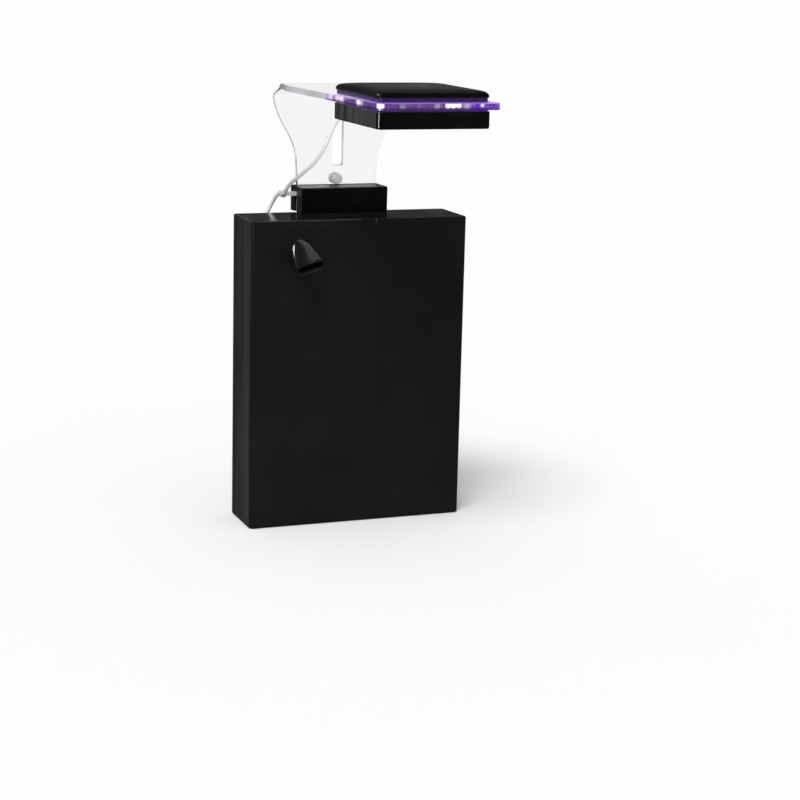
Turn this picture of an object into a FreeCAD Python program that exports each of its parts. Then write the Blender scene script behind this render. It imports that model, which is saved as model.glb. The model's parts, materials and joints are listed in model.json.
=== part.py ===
import FreeCAD, Part
import math
import os

# Hang-on aquarium filter with a lamp on its hanger.  Units are millimetres.
# X is to the right, Y to the rear (out of the tank) and Z up.  The origin is the middle of the
# rim seat: the top of the tank's rear pane is at Z = 0 and the pane lies between Y = -2.5 and +2.5.

V = FreeCAD.Vector
X_AXIS = V(1, 0, 0)
Y_AXIS = V(0, 1, 0)
Z_AXIS = V(0, 0, 1)

# ---- tank pane and general fits
PANE = 5.0                 # thickness of the tank's glass
RUN_FIT = 0.05             # radial clearance of a part that turns on another
SLIP = 0.3                 # gap beside a part that lifts or slides

# ---- filter housing
HOUSE_X = 97.5             # half width
HOUSE_BACK = -3.5
HOUSE_FRONT = -59.5
HOUSE_FLOOR = -279.0
HOUSE_TOP = -16.0
WALL = 2.5
FRONT_CORNER = 3.5
BACK_CORNER = 3.0
LID_TOP = -12.0
IN_X = HOUSE_X - WALL
IN_FRONT = HOUSE_FRONT + WALL
IN_BACK = HOUSE_BACK - WALL
IN_FLOOR = HOUSE_FLOOR + WALL
DIVIDER = 3.0              # thickness of a slide-in divider
PUMP_DIVIDER_X = -42.0
MEDIA_DIVIDER_X = 38.5
RIB = 1.6
INTAKE_ROWS = 12           # slots low in the right wall
INTAKE_PITCH = 7.0
INTAKE_FOOT = -266.0
COMB_GAPS = 7              # skimming comb high in the same wall
COMB_PITCH = 6.0
COMB_Z = (-44.0, -25.0)
GAP = 3.0                  # width of a slot or of a gap in the comb
SCOOP_R = 9.0              # finger scoop in the lid's front edge
SCOOP_AT = (7.5, -65.1)

# ---- hanger block on the rim
BLOCK_X = 40.0
BLOCK_FRONT = -15.5
BLOCK_BACK = 14.0
BLOCK_TOP = 10.0
BLOCK_FOOT = -12.0
CHANNEL_FRONT = -3.5
CHANNEL_BACK = 3.6
PAD_SEAT = 1.0             # the rubber seat fills Z = 0 to this height
NECK_X = 30.0
NECK_FRONT = -10.0
NECK_FOOT = -56.0
HANGER_SCREW_X = (-20.0, 20.0)
HANGER_SCREW_Z = -40.0

# ---- clear arm that carries the lamp
SHEET = 5.0
ARM_FRONT = 5.0            # front face of the upright sheet
ARM_FOOT = -8.0
ARM_TOP = 98.5             # top face of the level sheet
ARM_REACH = -229.0
ARM_WAIST = 36.5           # half widths: at the block, at the flare, at the bend, at the lamp
ARM_FLARE = 58.5
ARM_NECK = 54.0
ARM_WIDE = 57.0
ARM_TIP = 51.0
BEND_INSIDE = 7.0
ARM_WAIST_TOP = 12.0       # the sides are parallel up to here
ARM_WIDE_Y = -32.0         # and straight from here to the tip
SLOT_W = 10.5
SLOT_FOOT = 27.0
SLOT_TOP = 84.0
SLOT_CORNER = 2.0
STOP_Z = 15.3              # height of the screw whose knob rests on the block
STOP_R = 2.5               # thread of that screw
KNOB_R = 5.0
KNOB_START = ARM_FRONT + SHEET + 0.6
KNOB_LONG = 6.0

# ---- lamp head
LAMP_X = 47.0
LAMP_FRONT = -218.0
LAMP_BACK = -115.0
LAMP_FOOT = 78.0
LOWER_TOP = 91.5
UPPER_FOOT = 102.0
LAMP_TOP = 108.0
LAMP_WALL = 2.0
LOWER_CORNER = 4.0
UPPER_CORNER = 5.0
UPPER_EDGE = 4.0           # rounding of the cover's top edge
GLOW_INSET = 1.5           # the glowing rings stand back from the shells
GLOW_WIDTH = 11.0
LAMP_SCREW_X = 36.0
LAMP_SCREW_Y = (-209.0, -124.0)
SCREW_R = 1.45
SCREW_HOLE_R = 1.7
WINDOW_X = 35.0
WINDOW_Y = (-202.0, -131.0)
BOARD_X = 37.0             # lens, board and heat spreader share one outline
BOARD_Y = (-204.5, -128.5)
BOARD_Z = (86.0, 87.4)
LENS_THICK = 1.8
LED_SIZE = 3.5
LED_FOOT = 84.8

# ---- pump and outlet
OUT_X = -58.0              # riser and outlet axis
OUT_Z = -36.0
RISER_Y = -41.5
OUT_FRONT = -68.0          # free end of the outlet spigot
PIPE_R = 7.5
BORE_R = 6.0
SPIGOT_R = 5.95
ELBOW_BEND = 12.0
PUMP_X = (-89.0, -51.0)
PUMP_Y = (-48.0, -12.0)
PUMP_Z = (-272.0, -234.0)
ROTOR_X = -67.0
ROTOR_Z = -251.0
SHAFT_R = 1.25
NOZZLE_ROLL = -15.5        # degrees about +Y

# ---- filter media
BASKET_X = (-38.2, 34.6)
BASKET_Y = (-56.0, -7.2)
BASKET_Z = (-273.0, -96.0)
BASKET_WALL = 1.6
RING_R = 6.0
RING_LONG = 13.0
POUCH_Z = (-219.0, -180.0)
FLOSS_Z = (-176.0, -148.0)
SPONGE_X = (42.4, 94.2)
SPONGE_TOP = -70.0

# ---- lamp lead
LEAD_D = 3.5
LEAD_EXIT = (-30.0, -103.0, 84.0)
CLIP_AT = (-52.0, 3.7)     # X and Z of the clip's eye
FLOOR_LINE = HOUSE_FLOOR + LEAD_D / 2
LEAD_ROUTE = [
    LEAD_EXIT,
    (-30.4, -96.0, 82.0),
    (-33.0, -89.0, 76.0),
    (-37.5, -87.0, 68.0),
    (-40.4, -87.5, 60.5),
    (-43.3, -84.0, 50.8),
    (-45.2, -77.0, 43.4),
    (-47.0, -66.0, 35.7),
    (-48.6, -51.0, 28.8),
    (-50.0, -35.0, 21.8),
    (-51.6, -21.0, 15.4),
    (-52.4, -11.5, 8.6),
    (-52.0, -4.0, 3.7),
    (-52.0, 5.0, 3.7),
    (-52.6, 13.0, 1.5),
    (-54.8, 18.5, -5.0),
    (-59.0, 19.5, -14.0),
    (-65.0, 18.0, -26.0),
    (-70.0, 16.0, -44.0),
    (-73.0, 15.0, -74.0),
    (-74.5, 16.5, -118.0),
    (-74.0, 15.0, -166.0),
    (-72.0, 16.0, -210.0),
    (-69.0, 19.0, -240.0),
    (-63.0, 26.0, -260.0),
    (-53.0, 36.0, -272.0),
    (-40.0, 45.5, FLOOR_LINE),
    (-25.0, 50.0, FLOOR_LINE),
    (-10.0, 49.0, FLOOR_LINE),
]
COIL_AT = (-3.0, 70.0)
COIL_MID_R = 18.6
COIL_LAYERS = 3
TAIL_ROUTE = [
    (0.5, 46.6, FLOOR_LINE),
    (9.5, 45.8, FLOOR_LINE),
    (18.5, 43.6, FLOOR_LINE),
    (27.5, 41.6, FLOOR_LINE + 0.4),
    (37.0, 40.8, FLOOR_LINE + 1.4),
    (46.5, 41.0, FLOOR_LINE + 2.3),
]


# ---------------------------------------------------------------- helpers
def block(x0, x1, y0, y1, z0, z1):
    return Part.makeBox(x1 - x0, y1 - y0, z1 - z0, V(x0, y0, z0))


def rod(radius, start, direction, length):
    return Part.makeCylinder(radius, length, V(*start), direction)


def pipe(outer, inner, start, direction, length):
    return rod(outer, start, direction, length).cut(rod(inner, start, direction, length))


def joined(shapes):
    whole = shapes[0]
    for shape in shapes[1:]:
        whole = whole.fuse(shape)
    return whole.removeSplitter()


def soften(shape, radius, chosen):
    edges = [edge for edge in shape.Edges if chosen(edge)]
    return shape.makeFillet(radius, edges)


def is_upright(edge):
    size = edge.BoundBox
    return size.XLength < 1e-4 and size.YLength < 1e-4


def is_along_y(edge):
    size = edge.BoundBox
    return size.XLength < 1e-4 and size.ZLength < 1e-4


def is_level_at(height):
    def chosen(edge):
        size = edge.BoundBox
        return abs(size.ZMin - height) < 1e-4 and abs(size.ZMax - height) < 1e-4
    return chosen


def rounded_block(x0, x1, y0, y1, z0, z1, front_r, back_r=None):
    """A block whose upright edges are rounded, the front pair and the rear pair on their own."""
    back_r = front_r if back_r is None else back_r
    shape = block(x0, x1, y0, y1, z0, z1)
    middle = (y0 + y1) / 2
    shape = soften(shape, front_r, lambda e: is_upright(e) and e.BoundBox.YMax < middle)
    return soften(shape, back_r, lambda e: is_upright(e) and e.BoundBox.YMin > middle)


def frame_block(x, y0, y1, z0, z1, width, corner):
    """A flat ring, symmetric about X = 0, with rounded outer corners."""
    outer = rounded_block(-x, x, y0, y1, z0, z1, corner)
    return outer.cut(block(-x + width, x - width, y0 + width, y1 - width, z0 - 1, z1 + 1))


def pill_wire(centre, width, height):
    """A closed outline in the XZ plane with round ends, made of two straights and two arcs."""
    x, y, z = centre
    half = (width - height) / 2
    r = height / 2
    top_left = V(x - half, y, z + r)
    top_right = V(x + half, y, z + r)
    low_right = V(x + half, y, z - r)
    low_left = V(x - half, y, z - r)
    return Part.Wire([
        Part.LineSegment(top_left, top_right).toShape(),
        Part.Arc(top_right, V(x + half + r, y, z), low_right).toShape(),
        Part.LineSegment(low_right, low_left).toShape(),
        Part.Arc(low_left, V(x - half - r, y, z), top_left).toShape(),
    ])


# ---------------------------------------------------------------- housing and what slides into it
def divider_ribs(at_x):
    ribs = []
    for side in (-1, 1):
        near = at_x + side * (DIVIDER / 2 + 0.15)
        far = near + side * RIB
        x0, x1 = min(near, far), max(near, far)
        ribs.append(block(x0, x1, IN_FRONT - 0.5, IN_FRONT + RIB, IN_FLOOR - 0.5, HOUSE_TOP - 6))
        ribs.append(block(x0, x1, IN_BACK - RIB, IN_BACK + 0.5, IN_FLOOR - 0.5, HOUSE_TOP - 6))
    return ribs


def make_housing():
    outer = rounded_block(-HOUSE_X, HOUSE_X, HOUSE_FRONT, HOUSE_BACK, HOUSE_FLOOR, HOUSE_TOP,
                          FRONT_CORNER, BACK_CORNER)
    outer = soften(outer, 2.0, is_level_at(HOUSE_FLOOR))
    inner = rounded_block(-IN_X, IN_X, IN_FRONT, IN_BACK, IN_FLOOR, HOUSE_TOP + 1,
                          FRONT_CORNER - WALL, 0.8)
    shell = outer.cut(inner)
    shell = joined([shell] + divider_ribs(PUMP_DIVIDER_X) + divider_ribs(MEDIA_DIVIDER_X))
    cuts = []
    for row in range(INTAKE_ROWS):
        z = INTAKE_FOOT + row * INTAKE_PITCH
        cuts.append(block(IN_X - 1, HOUSE_X + 1, -51.0, -13.0, z, z + GAP))
    for column in range(COMB_GAPS):
        y = -50.0 + column * COMB_PITCH
        cuts.append(block(IN_X - 1, HOUSE_X + 1, y, y + GAP, *COMB_Z))
    cuts.append(rod(9.5, (OUT_X, HOUSE_FRONT - 1, OUT_Z), Y_AXIS, WALL + 2))
    cuts.append(block(-88.0, -82.0, IN_BACK - 1, HOUSE_BACK + 1, -22.0, HOUSE_TOP + 1))
    for x in HANGER_SCREW_X:
        cuts.append(rod(1.6, (x, IN_BACK - 1, HANGER_SCREW_Z), Y_AXIS, WALL + 2))
    return shell.cut(Part.makeCompound(cuts))


def make_lid():
    plate = rounded_block(-HOUSE_X, HOUSE_X, HOUSE_FRONT, HOUSE_BACK, HOUSE_TOP, LID_TOP,
                          FRONT_CORNER, BACK_CORNER)
    plate = soften(plate, 0.9, is_level_at(LID_TOP))
    gap = 0.4
    rib = rounded_block(-IN_X + gap, IN_X - gap, IN_FRONT + gap, IN_BACK - gap,
                        HOUSE_TOP - 5, HOUSE_TOP + 1, 0.8)
    rib = rib.cut(rounded_block(-IN_X + gap + RIB, IN_X - gap - RIB, IN_FRONT + gap + RIB,
                                IN_BACK - gap - RIB, HOUSE_TOP - 6, HOUSE_TOP + 0.5, 0.5))
    lid = plate.fuse(rib).removeSplitter()
    side = BLOCK_X + 2 * SLIP
    lid = lid.cut(block(-side, side, BLOCK_FRONT - 2 * SLIP, HOUSE_BACK + 1,
                        HOUSE_TOP - 6, LID_TOP + 1))
    scoop = rod(SCOOP_R, (*SCOOP_AT, HOUSE_TOP - 1), Z_AXIS, LID_TOP - HOUSE_TOP + 2)
    return lid.cut(scoop)


def make_divider(at_x, low_slots, top):
    plate = block(at_x - DIVIDER / 2, at_x + DIVIDER / 2, IN_FRONT + 0.2, IN_BACK - 0.2,
                  IN_FLOOR + 0.1, top)
    if not low_slots:
        return plate
    cuts = []
    for row in range(4):
        z = IN_FLOOR + 6 + row * 8
        cuts.append(block(at_x - 3, at_x + 3, -48.0, -16.0, z, z + 4.0))
    return plate.cut(Part.makeCompound(cuts))


def make_bumpers():
    return Part.makeCompound([
        rod(7.0, (x, HOUSE_BACK, -255.0), Y_AXIS, 1.0) for x in (-78.0, 78.0)
    ])


# ---------------------------------------------------------------- hanger
def make_hanger():
    body = block(-BLOCK_X, BLOCK_X, BLOCK_FRONT, BLOCK_BACK, BLOCK_FOOT, BLOCK_TOP)
    body = soften(body, 1.2, lambda e: is_upright(e) or is_level_at(BLOCK_TOP)(e))
    flange = block(-BLOCK_X, BLOCK_X, BLOCK_FRONT + 1.2, HOUSE_BACK, HOUSE_TOP, BLOCK_FOOT + 1)
    neck = block(-NECK_X, NECK_X, NECK_FRONT, IN_BACK - 0.05, NECK_FOOT, HOUSE_TOP + 1)
    body = joined([body, flange, neck])
    body = body.cut(block(-BLOCK_X - 1, BLOCK_X + 1, CHANNEL_FRONT, CHANNEL_BACK,
                          BLOCK_FOOT - 6, PAD_SEAT))
    body = body.cut(block(-ARM_WAIST - 1.5, ARM_WAIST + 1.5, ARM_FRONT - 0.15,
                          ARM_FRONT + SHEET + 0.15, BLOCK_FOOT - 1, BLOCK_TOP + 1))
    holes = [rod(1.6, (x, NECK_FRONT - 1, HANGER_SCREW_Z), Y_AXIS, 6.0)
             for x in HANGER_SCREW_X]
    return body.cut(Part.makeCompound(holes))


def make_hanger_screws():
    screws = []
    z = HANGER_SCREW_Z
    for x in HANGER_SCREW_X:
        shank = rod(1.55, (x, NECK_FRONT, z), Y_AXIS, HOUSE_BACK - 0.3 - NECK_FRONT)
        head = rod(3.0, (x, NECK_FRONT - 2.2, z), Y_AXIS, 2.2)
        socket = block(x - 2.0, x + 2.0, NECK_FRONT - 3, NECK_FRONT - 1.2, z - 0.4, z + 0.4)
        screws.append(shank.fuse(head).cut(socket))
    return Part.makeCompound(screws)


def make_rim_seat():
    return block(-38.0, 38.0, -2.3, 2.3, 0.0, PAD_SEAT)


def make_glass_pads():
    front = block(-38.0, 38.0, CHANNEL_FRONT, -PANE / 2, -11.0, -1.0)
    back = block(-38.0, 38.0, PANE / 2, CHANNEL_BACK, -11.0, -1.0)
    return Part.makeCompound([front, back])


def make_lead_clip():
    x, z = CLIP_AT
    ring = pipe(3.1, LEAD_D / 2 + 0.15, (x, -3.0, z), Y_AXIS, 6.0)
    ring = ring.cut(block(x - 1.2, x + 1.2, -4.0, 4.0, z + 0.5, z + 5))
    web = block(x + 2.6, -BLOCK_X, -3.0, 3.0, z - 1.6, z + 1.6)
    return joined([ring, web.cut(rod(2.6, (x, -4.0, z), Y_AXIS, 8.0))])


# ---------------------------------------------------------------- arm and its height stop
def arm_profile():
    """Side view of the bent sheet, as a face in a YZ plane to the left of the arm."""
    x = -ARM_FLARE - 20
    r_in = BEND_INSIDE
    r_out = BEND_INSIDE + SHEET
    back = ARM_FRONT + SHEET
    under = ARM_TOP - SHEET
    cy = ARM_FRONT - r_in
    cz = under - r_in
    half = math.sqrt(0.5)
    corners = [(ARM_FRONT, ARM_FOOT), (back, ARM_FOOT), (back, cz), (cy, ARM_TOP),
               (ARM_REACH, ARM_TOP), (ARM_REACH, under), (cy, under), (ARM_FRONT, cz)]
    p = [V(x, y, z) for y, z in corners]
    outside = V(x, cy + r_out * half, cz + r_out * half)
    inside = V(x, cy + r_in * half, cz + r_in * half)
    wire = Part.Wire([
        Part.LineSegment(p[0], p[1]).toShape(),
        Part.LineSegment(p[1], p[2]).toShape(),
        Part.Arc(p[2], outside, p[3]).toShape(),
        Part.LineSegment(p[3], p[4]).toShape(),
        Part.LineSegment(p[4], p[5]).toShape(),
        Part.LineSegment(p[5], p[6]).toShape(),
        Part.Arc(p[6], inside, p[7]).toShape(),
        Part.LineSegment(p[7], p[0]).toShape(),
    ])
    return Part.Face(wire)


def curve_through(points, start_tangent=None, end_tangent=None):
    curve = Part.BSplineCurve()
    if start_tangent is None:
        curve.interpolate(points)
    else:
        curve.interpolate(Points=points, InitialTangent=start_tangent, FinalTangent=end_tangent)
    return curve.toShape()


def mirrored_face(half):
    """A face from the edges of its right half, which start and end on X = 0."""
    edges = half + [edge.mirror(V(0, 0, 0), X_AXIS) for edge in half]
    return Part.Face(Part.Wire(Part.__sortEdges__(edges)))


def arm_front_outline(y):
    """Front view of the upright sheet: a waist, a flare and a narrower neck at the bend."""
    flare = [(ARM_WAIST, ARM_WAIST_TOP), (37.2, 28), (39.3, 42), (44.5, 54), (52.5, 68),
             (57.3, 80), (ARM_FLARE, 86), (57.0, 90.5), (54.6, 93.2), (ARM_NECK, 95)]
    top = ARM_TOP + 5
    foot = ARM_FOOT - 1
    waist = [V(0, y, foot), V(ARM_WAIST, y, foot), V(ARM_WAIST, y, ARM_WAIST_TOP)]
    neck = [V(ARM_NECK, y, 95), V(ARM_NECK, y, top), V(0, y, top)]
    flank = curve_through([V(x, y, z) for x, z in flare], Z_AXIS, Z_AXIS)
    return mirrored_face(Part.makePolygon(waist).Edges + [flank] + Part.makePolygon(neck).Edges)


def arm_plan_outline(z, start):
    """Plan of the level sheet, from the bend to the rounded tip."""
    swell = [V(ARM_NECK, start, z), V(56.0, start - 13, z), V(ARM_WIDE, ARM_WIDE_Y, z)]
    taper = V(ARM_TIP - ARM_WIDE, ARM_REACH - ARM_WIDE_Y, 0)
    taper.normalize()
    flank = curve_through(swell, -Y_AXIS, taper)
    tip = [swell[-1], V(ARM_TIP, ARM_REACH, z), V(0, ARM_REACH, z)]
    root = Part.makePolygon([V(0, start, z), swell[0]])
    return mirrored_face(root.Edges + [flank] + Part.makePolygon(tip).Edges)


def make_arm():
    whole = arm_profile().extrude(V(2 * (ARM_FLARE + 20), 0, 0))
    bend_start = ARM_FRONT - BEND_INSIDE
    upright = whole.common(arm_front_outline(bend_start).extrude(V(0, 30, 0)))
    level = whole.common(arm_plan_outline(ARM_TOP - 10, bend_start).extrude(V(0, 0, 20)))
    sheet = joined([upright, level])
    sheet = soften(sheet, 6.0, lambda e: is_upright(e) and e.BoundBox.YMax < ARM_REACH + 1)
    r = SLOT_W / 2
    slot = block(-r, r, ARM_FRONT - 1, ARM_FRONT + SHEET + 1, SLOT_FOOT, SLOT_TOP)
    slot = soften(slot, SLOT_CORNER, is_along_y)
    sheet = sheet.cut(slot).cut(rod(STOP_R + 0.1, (0, ARM_FRONT - 1, STOP_Z), Y_AXIS, SHEET + 2))
    for x, y in lamp_screw_places():
        sheet = sheet.cut(rod(SCREW_HOLE_R, (x, y, ARM_TOP - SHEET - 1), Z_AXIS, SHEET + 2))
    return sheet


def make_stop_screw():
    head = rod(4.2, (0, ARM_FRONT - 2.2, STOP_Z), Y_AXIS, 2.1)
    shank = rod(STOP_R, (0, ARM_FRONT - 0.2, STOP_Z), Y_AXIS, SHEET + KNOB_LONG + 2.0)
    return joined([head, shank])


def make_stop_knob():
    knob = rod(KNOB_R, (0, KNOB_START, STOP_Z), Y_AXIS, KNOB_LONG)
    knob = knob.cut(rod(STOP_R + RUN_FIT, (0, KNOB_START - 1, STOP_Z), Y_AXIS, KNOB_LONG + 2))
    grips = []
    for step in range(8):
        turn = math.radians(step * 45 + 22.5)
        reach = KNOB_R + 0.7
        at = (reach * math.cos(turn), KNOB_START + 1.5, STOP_Z + reach * math.sin(turn))
        grips.append(rod(1.2, at, Y_AXIS, KNOB_LONG))
    return knob.cut(Part.makeCompound(grips))


# ---------------------------------------------------------------- lamp head
def lamp_screw_places():
    return [(x, y) for x in (-LAMP_SCREW_X, LAMP_SCREW_X) for y in LAMP_SCREW_Y]


def make_lower_shell():
    outer = rounded_block(-LAMP_X, LAMP_X, LAMP_FRONT, LAMP_BACK, LAMP_FOOT, LOWER_TOP,
                          LOWER_CORNER)
    outer = soften(outer, 1.2, is_level_at(LAMP_FOOT))
    inner = rounded_block(-LAMP_X + LAMP_WALL, LAMP_X - LAMP_WALL, LAMP_FRONT + LAMP_WALL,
                          LAMP_BACK - LAMP_WALL, LAMP_FOOT + LAMP_WALL, LOWER_TOP + 1,
                          LOWER_CORNER - LAMP_WALL)
    shell = outer.cut(inner)
    bosses = [rod(3.2, (x, y, LAMP_FOOT + 1), Z_AXIS, LOWER_TOP - LAMP_FOOT - 1)
              for x, y in lamp_screw_places()]
    shell = joined([shell] + bosses)
    cuts = [block(-WINDOW_X, WINDOW_X, *WINDOW_Y, LAMP_FOOT - 1, LAMP_FOOT + LAMP_WALL + 1)]
    for x, y in lamp_screw_places():
        cuts.append(rod(2.9, (x, y, LAMP_FOOT - 1), Z_AXIS, 2.6))
        cuts.append(rod(1.6, (x, y, LAMP_FOOT), Z_AXIS, LOWER_TOP - LAMP_FOOT + 1))
    gx, gy, gz = LEAD_EXIT
    cuts.append(rod(3.0, (gx, LAMP_BACK - LAMP_WALL - 1, gz), Y_AXIS, LAMP_WALL + 2))
    for cut in cuts:
        shell = shell.cut(cut)
    return shell


def make_glow_spacer(z0, z1, corner):
    ring = frame_block(LAMP_X - GLOW_INSET, LAMP_FRONT + GLOW_INSET, LAMP_BACK - GLOW_INSET,
                       z0, z1, GLOW_WIDTH, corner)
    holes = [rod(SCREW_HOLE_R, (x, y, z0 - 1), Z_AXIS, z1 - z0 + 2)
             for x, y in lamp_screw_places()]
    return ring.cut(Part.makeCompound(holes))


def make_top_shell():
    outer = rounded_block(-LAMP_X, LAMP_X, LAMP_FRONT, LAMP_BACK, UPPER_FOOT, LAMP_TOP,
                          UPPER_CORNER)
    outer = soften(outer, UPPER_EDGE, is_level_at(LAMP_TOP))
    inner = rounded_block(-30.0, 30.0, -203.0, -130.0, UPPER_FOOT - 1, LAMP_TOP - 2.5, 8.0)
    holes = [rod(SCREW_R, (x, y, UPPER_FOOT - 1), Z_AXIS, 4.0) for x, y in lamp_screw_places()]
    return outer.cut(inner).cut(Part.makeCompound(holes))


def make_lamp_screws():
    screws = []
    for x, y in lamp_screw_places():
        head = rod(2.7, (x, y, LAMP_FOOT + 0.2), Z_AXIS, 1.4)
        shank = rod(SCREW_R, (x, y, LAMP_FOOT + 1.5), Z_AXIS, UPPER_FOOT - LAMP_FOOT + 1.3)
        recess = block(x - 1.9, x + 1.9, y - 0.4, y + 0.4, LAMP_FOOT, LAMP_FOOT + 0.9)
        screws.append(head.fuse(shank).cut(recess))
    return Part.makeCompound(screws)


def make_lens():
    foot = LAMP_FOOT + LAMP_WALL
    return rounded_block(-BOARD_X, BOARD_X, *BOARD_Y, foot, foot + LENS_THICK, 2.0)


def make_led_board():
    return rounded_block(-BOARD_X, BOARD_X, *BOARD_Y, *BOARD_Z, 2.0)


def make_leds():
    chips = []
    for column in range(6):
        for row in range(5):
            x = -30.0 + column * 12.0
            y = -196.0 + row * 14.75
            half = LED_SIZE / 2
            chips.append(block(x - half, x + half, y - half, y + half, LED_FOOT, BOARD_Z[0]))
    return Part.makeCompound(chips)


def make_heat_spreader():
    foot = BOARD_Z[1]
    plate = block(-BOARD_X, BOARD_X, *BOARD_Y, foot, foot + 1.2)
    fins = []
    for step in range(9):
        x = -32.0 + step * 8.0
        fins.append(block(x - 0.7, x + 0.7, -203.0, -130.0, foot + 0.6, LOWER_TOP - 0.2))
    return joined([plate] + fins)


def make_lead_gland():
    gx, gy, gz = LEAD_EXIT
    neck = rod(2.95, (gx, LAMP_BACK - 4.0, gz), Y_AXIS, 4.5)
    collar = rod(4.6, (gx, LAMP_BACK, gz), Y_AXIS, 2.0)
    taper = Part.makeCone(3.8, 2.5, gy - LAMP_BACK - 2.2, V(gx, LAMP_BACK + 2.0, gz), Y_AXIS)
    body = joined([neck, collar, taper])
    return body.cut(rod(LEAD_D / 2, (gx, LAMP_BACK - 5.0, gz), Y_AXIS, 25.0))


# ---------------------------------------------------------------- pump
def make_pump_body():
    body = block(*PUMP_X, *PUMP_Y, *PUMP_Z)
    body = soften(body, 3.0, lambda e: is_upright(e) and e.BoundBox.YMin > -20)
    spigot = rod(SPIGOT_R, (OUT_X, RISER_Y, PUMP_Z[1] - 1), Z_AXIS, 15.0)
    body = joined([body, spigot])
    axis = (ROTOR_X, 0, ROTOR_Z)
    cuts = [
        rod(13.0, (axis[0], PUMP_Y[0] - 1, axis[2]), Y_AXIS, 12.5),
        rod(7.5, (axis[0], -37.0, axis[2]), Y_AXIS, 19.5),
        rod(3.0, (axis[0], -18.0, axis[2]), Y_AXIS, 3.5),
        rod(4.3, (OUT_X, RISER_Y, ROTOR_Z), Z_AXIS, 40.0),
        rod(2.6, (-80.0, -20.0, PUMP_Z[1] - 8), Z_AXIS, 12.0),
    ]
    for cut in cuts:
        body = body.cut(cut)
    return body


def make_pump_cover():
    cover = block(*PUMP_X, -54.0, PUMP_Y[0] - 0.05, *PUMP_Z)
    cover = soften(cover, 3.0, lambda e: is_upright(e) and e.BoundBox.YMax < -50)
    cover = cover.cut(rod(12.0, (ROTOR_X, -52.0, ROTOR_Z), Y_AXIS, 5.0))
    boss = rod(4.6, (ROTOR_X, -53.0, ROTOR_Z), Y_AXIS, 4.4)
    bars = []
    for step in range(4):
        for x in (ROTOR_X - 8.2, ROTOR_X + 5.8):
            z = ROTOR_Z - 7.0 + step * 4.0
            bars.append(block(x, x + 2.4, -55.0, -51.0, z, z + 2.2))
    rails = []
    for side in (-1, 1):
        near, lip, far = (ROTOR_X + side * reach for reach in (9.4, 8.2, 11.2))
        rails.append(block(min(near, far), max(near, far), -56.1, -53.9, -268.0, -237.0))
        rails.append(block(min(lip, far), max(lip, far), -56.1, -55.4, -268.0, -237.0))
    cover = cover.cut(Part.makeCompound(bars))
    cover = joined([cover, boss] + rails)
    return cover.cut(rod(3.0, (ROTOR_X, -51.6, ROTOR_Z), Y_AXIS, 5.0))


def make_flow_slider():
    plate = block(ROTOR_X - 9.1, ROTOR_X + 9.1, -55.2, -54.05, -266.5, -256.5)
    grip = block(ROTOR_X - 4.0, ROTOR_X + 4.0, -56.3, -55.0, -266.5, -264.5)
    return joined([plate, grip])


def make_impeller():
    hub = rod(4.0, (ROTOR_X, -47.0, ROTOR_Z), Y_AXIS, 10.4)
    sleeve = rod(2.2, (ROTOR_X, -37.0, ROTOR_Z), Y_AXIS, 17.0)
    disc = rod(11.5, (ROTOR_X, -39.2, ROTOR_Z), Y_AXIS, 1.2)
    blades = []
    for step in range(6):
        blade = block(3.0, 11.3, -46.8, -39.0, -0.6, 0.6)
        blade.rotate(V(0, 0, 0), Y_AXIS, step * 60.0)
        blade.translate(V(ROTOR_X, 0, ROTOR_Z))
        blades.append(blade)
    wheel = joined([hub, sleeve, disc] + blades)
    return wheel.cut(rod(SHAFT_R + RUN_FIT, (ROTOR_X, -48.0, ROTOR_Z), Y_AXIS, 30.0))


def make_magnet():
    return pipe(6.6, 2.2, (ROTOR_X, -36.4, ROTOR_Z), Y_AXIS, 16.4)


def make_shaft():
    return rod(SHAFT_R, (ROTOR_X, -51.2, ROTOR_Z), Y_AXIS, 36.2)


def make_bushes():
    front = pipe(3.0, SHAFT_R, (ROTOR_X, -51.5, ROTOR_Z), Y_AXIS, 2.8)
    rear = pipe(3.0, SHAFT_R, (ROTOR_X, -17.4, ROTOR_Z), Y_AXIS, 2.8)
    return Part.makeCompound([front, rear])


def make_pump_feet():
    feet = []
    for x in (-82.0, -58.0):
        for y in (-41.0, -19.0):
            cup = Part.makeCone(6.0, 3.4, PUMP_Z[0] - IN_FLOOR, V(x, y, IN_FLOOR), Z_AXIS)
            feet.append(cup)
    return Part.makeCompound(feet)


def make_pump_gland():
    return pipe(4.4, 2.6, (-80.0, -20.0, PUMP_Z[1]), Z_AXIS, 8.0)


# ---------------------------------------------------------------- outlet
def make_riser():
    foot = PUMP_Z[1] + 0.5
    top = OUT_Z - ELBOW_BEND - 12.2
    return pipe(PIPE_R, BORE_R, (OUT_X, RISER_Y, foot), Z_AXIS, top - foot)


def elbow_solid(radius, drop, front):
    """A round bar that rises, turns forward through the bend and runs out level."""
    bend_z = OUT_Z - ELBOW_BEND
    bend_y = RISER_Y - ELBOW_BEND
    face = Part.Face(Part.Wire(Part.makeCircle(radius, V(OUT_X, RISER_Y, bend_z), Z_AXIS)))
    turn = face.revolve(V(OUT_X, bend_y, bend_z), X_AXIS, 90)
    up = rod(radius, (OUT_X, RISER_Y, bend_z - drop), Z_AXIS, drop)
    out = rod(radius, (OUT_X, front, OUT_Z), Y_AXIS, bend_y - front)
    return joined([turn, up, out])


def make_elbow():
    outside = elbow_solid(PIPE_R, 12.0, OUT_FRONT)
    stub = rod(SPIGOT_R, (OUT_X, RISER_Y, OUT_Z - ELBOW_BEND - 20.0), Z_AXIS, 9.0)
    bore = elbow_solid(4.6, 21.0, OUT_FRONT - 1)
    return joined([outside, stub]).cut(bore)


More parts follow.
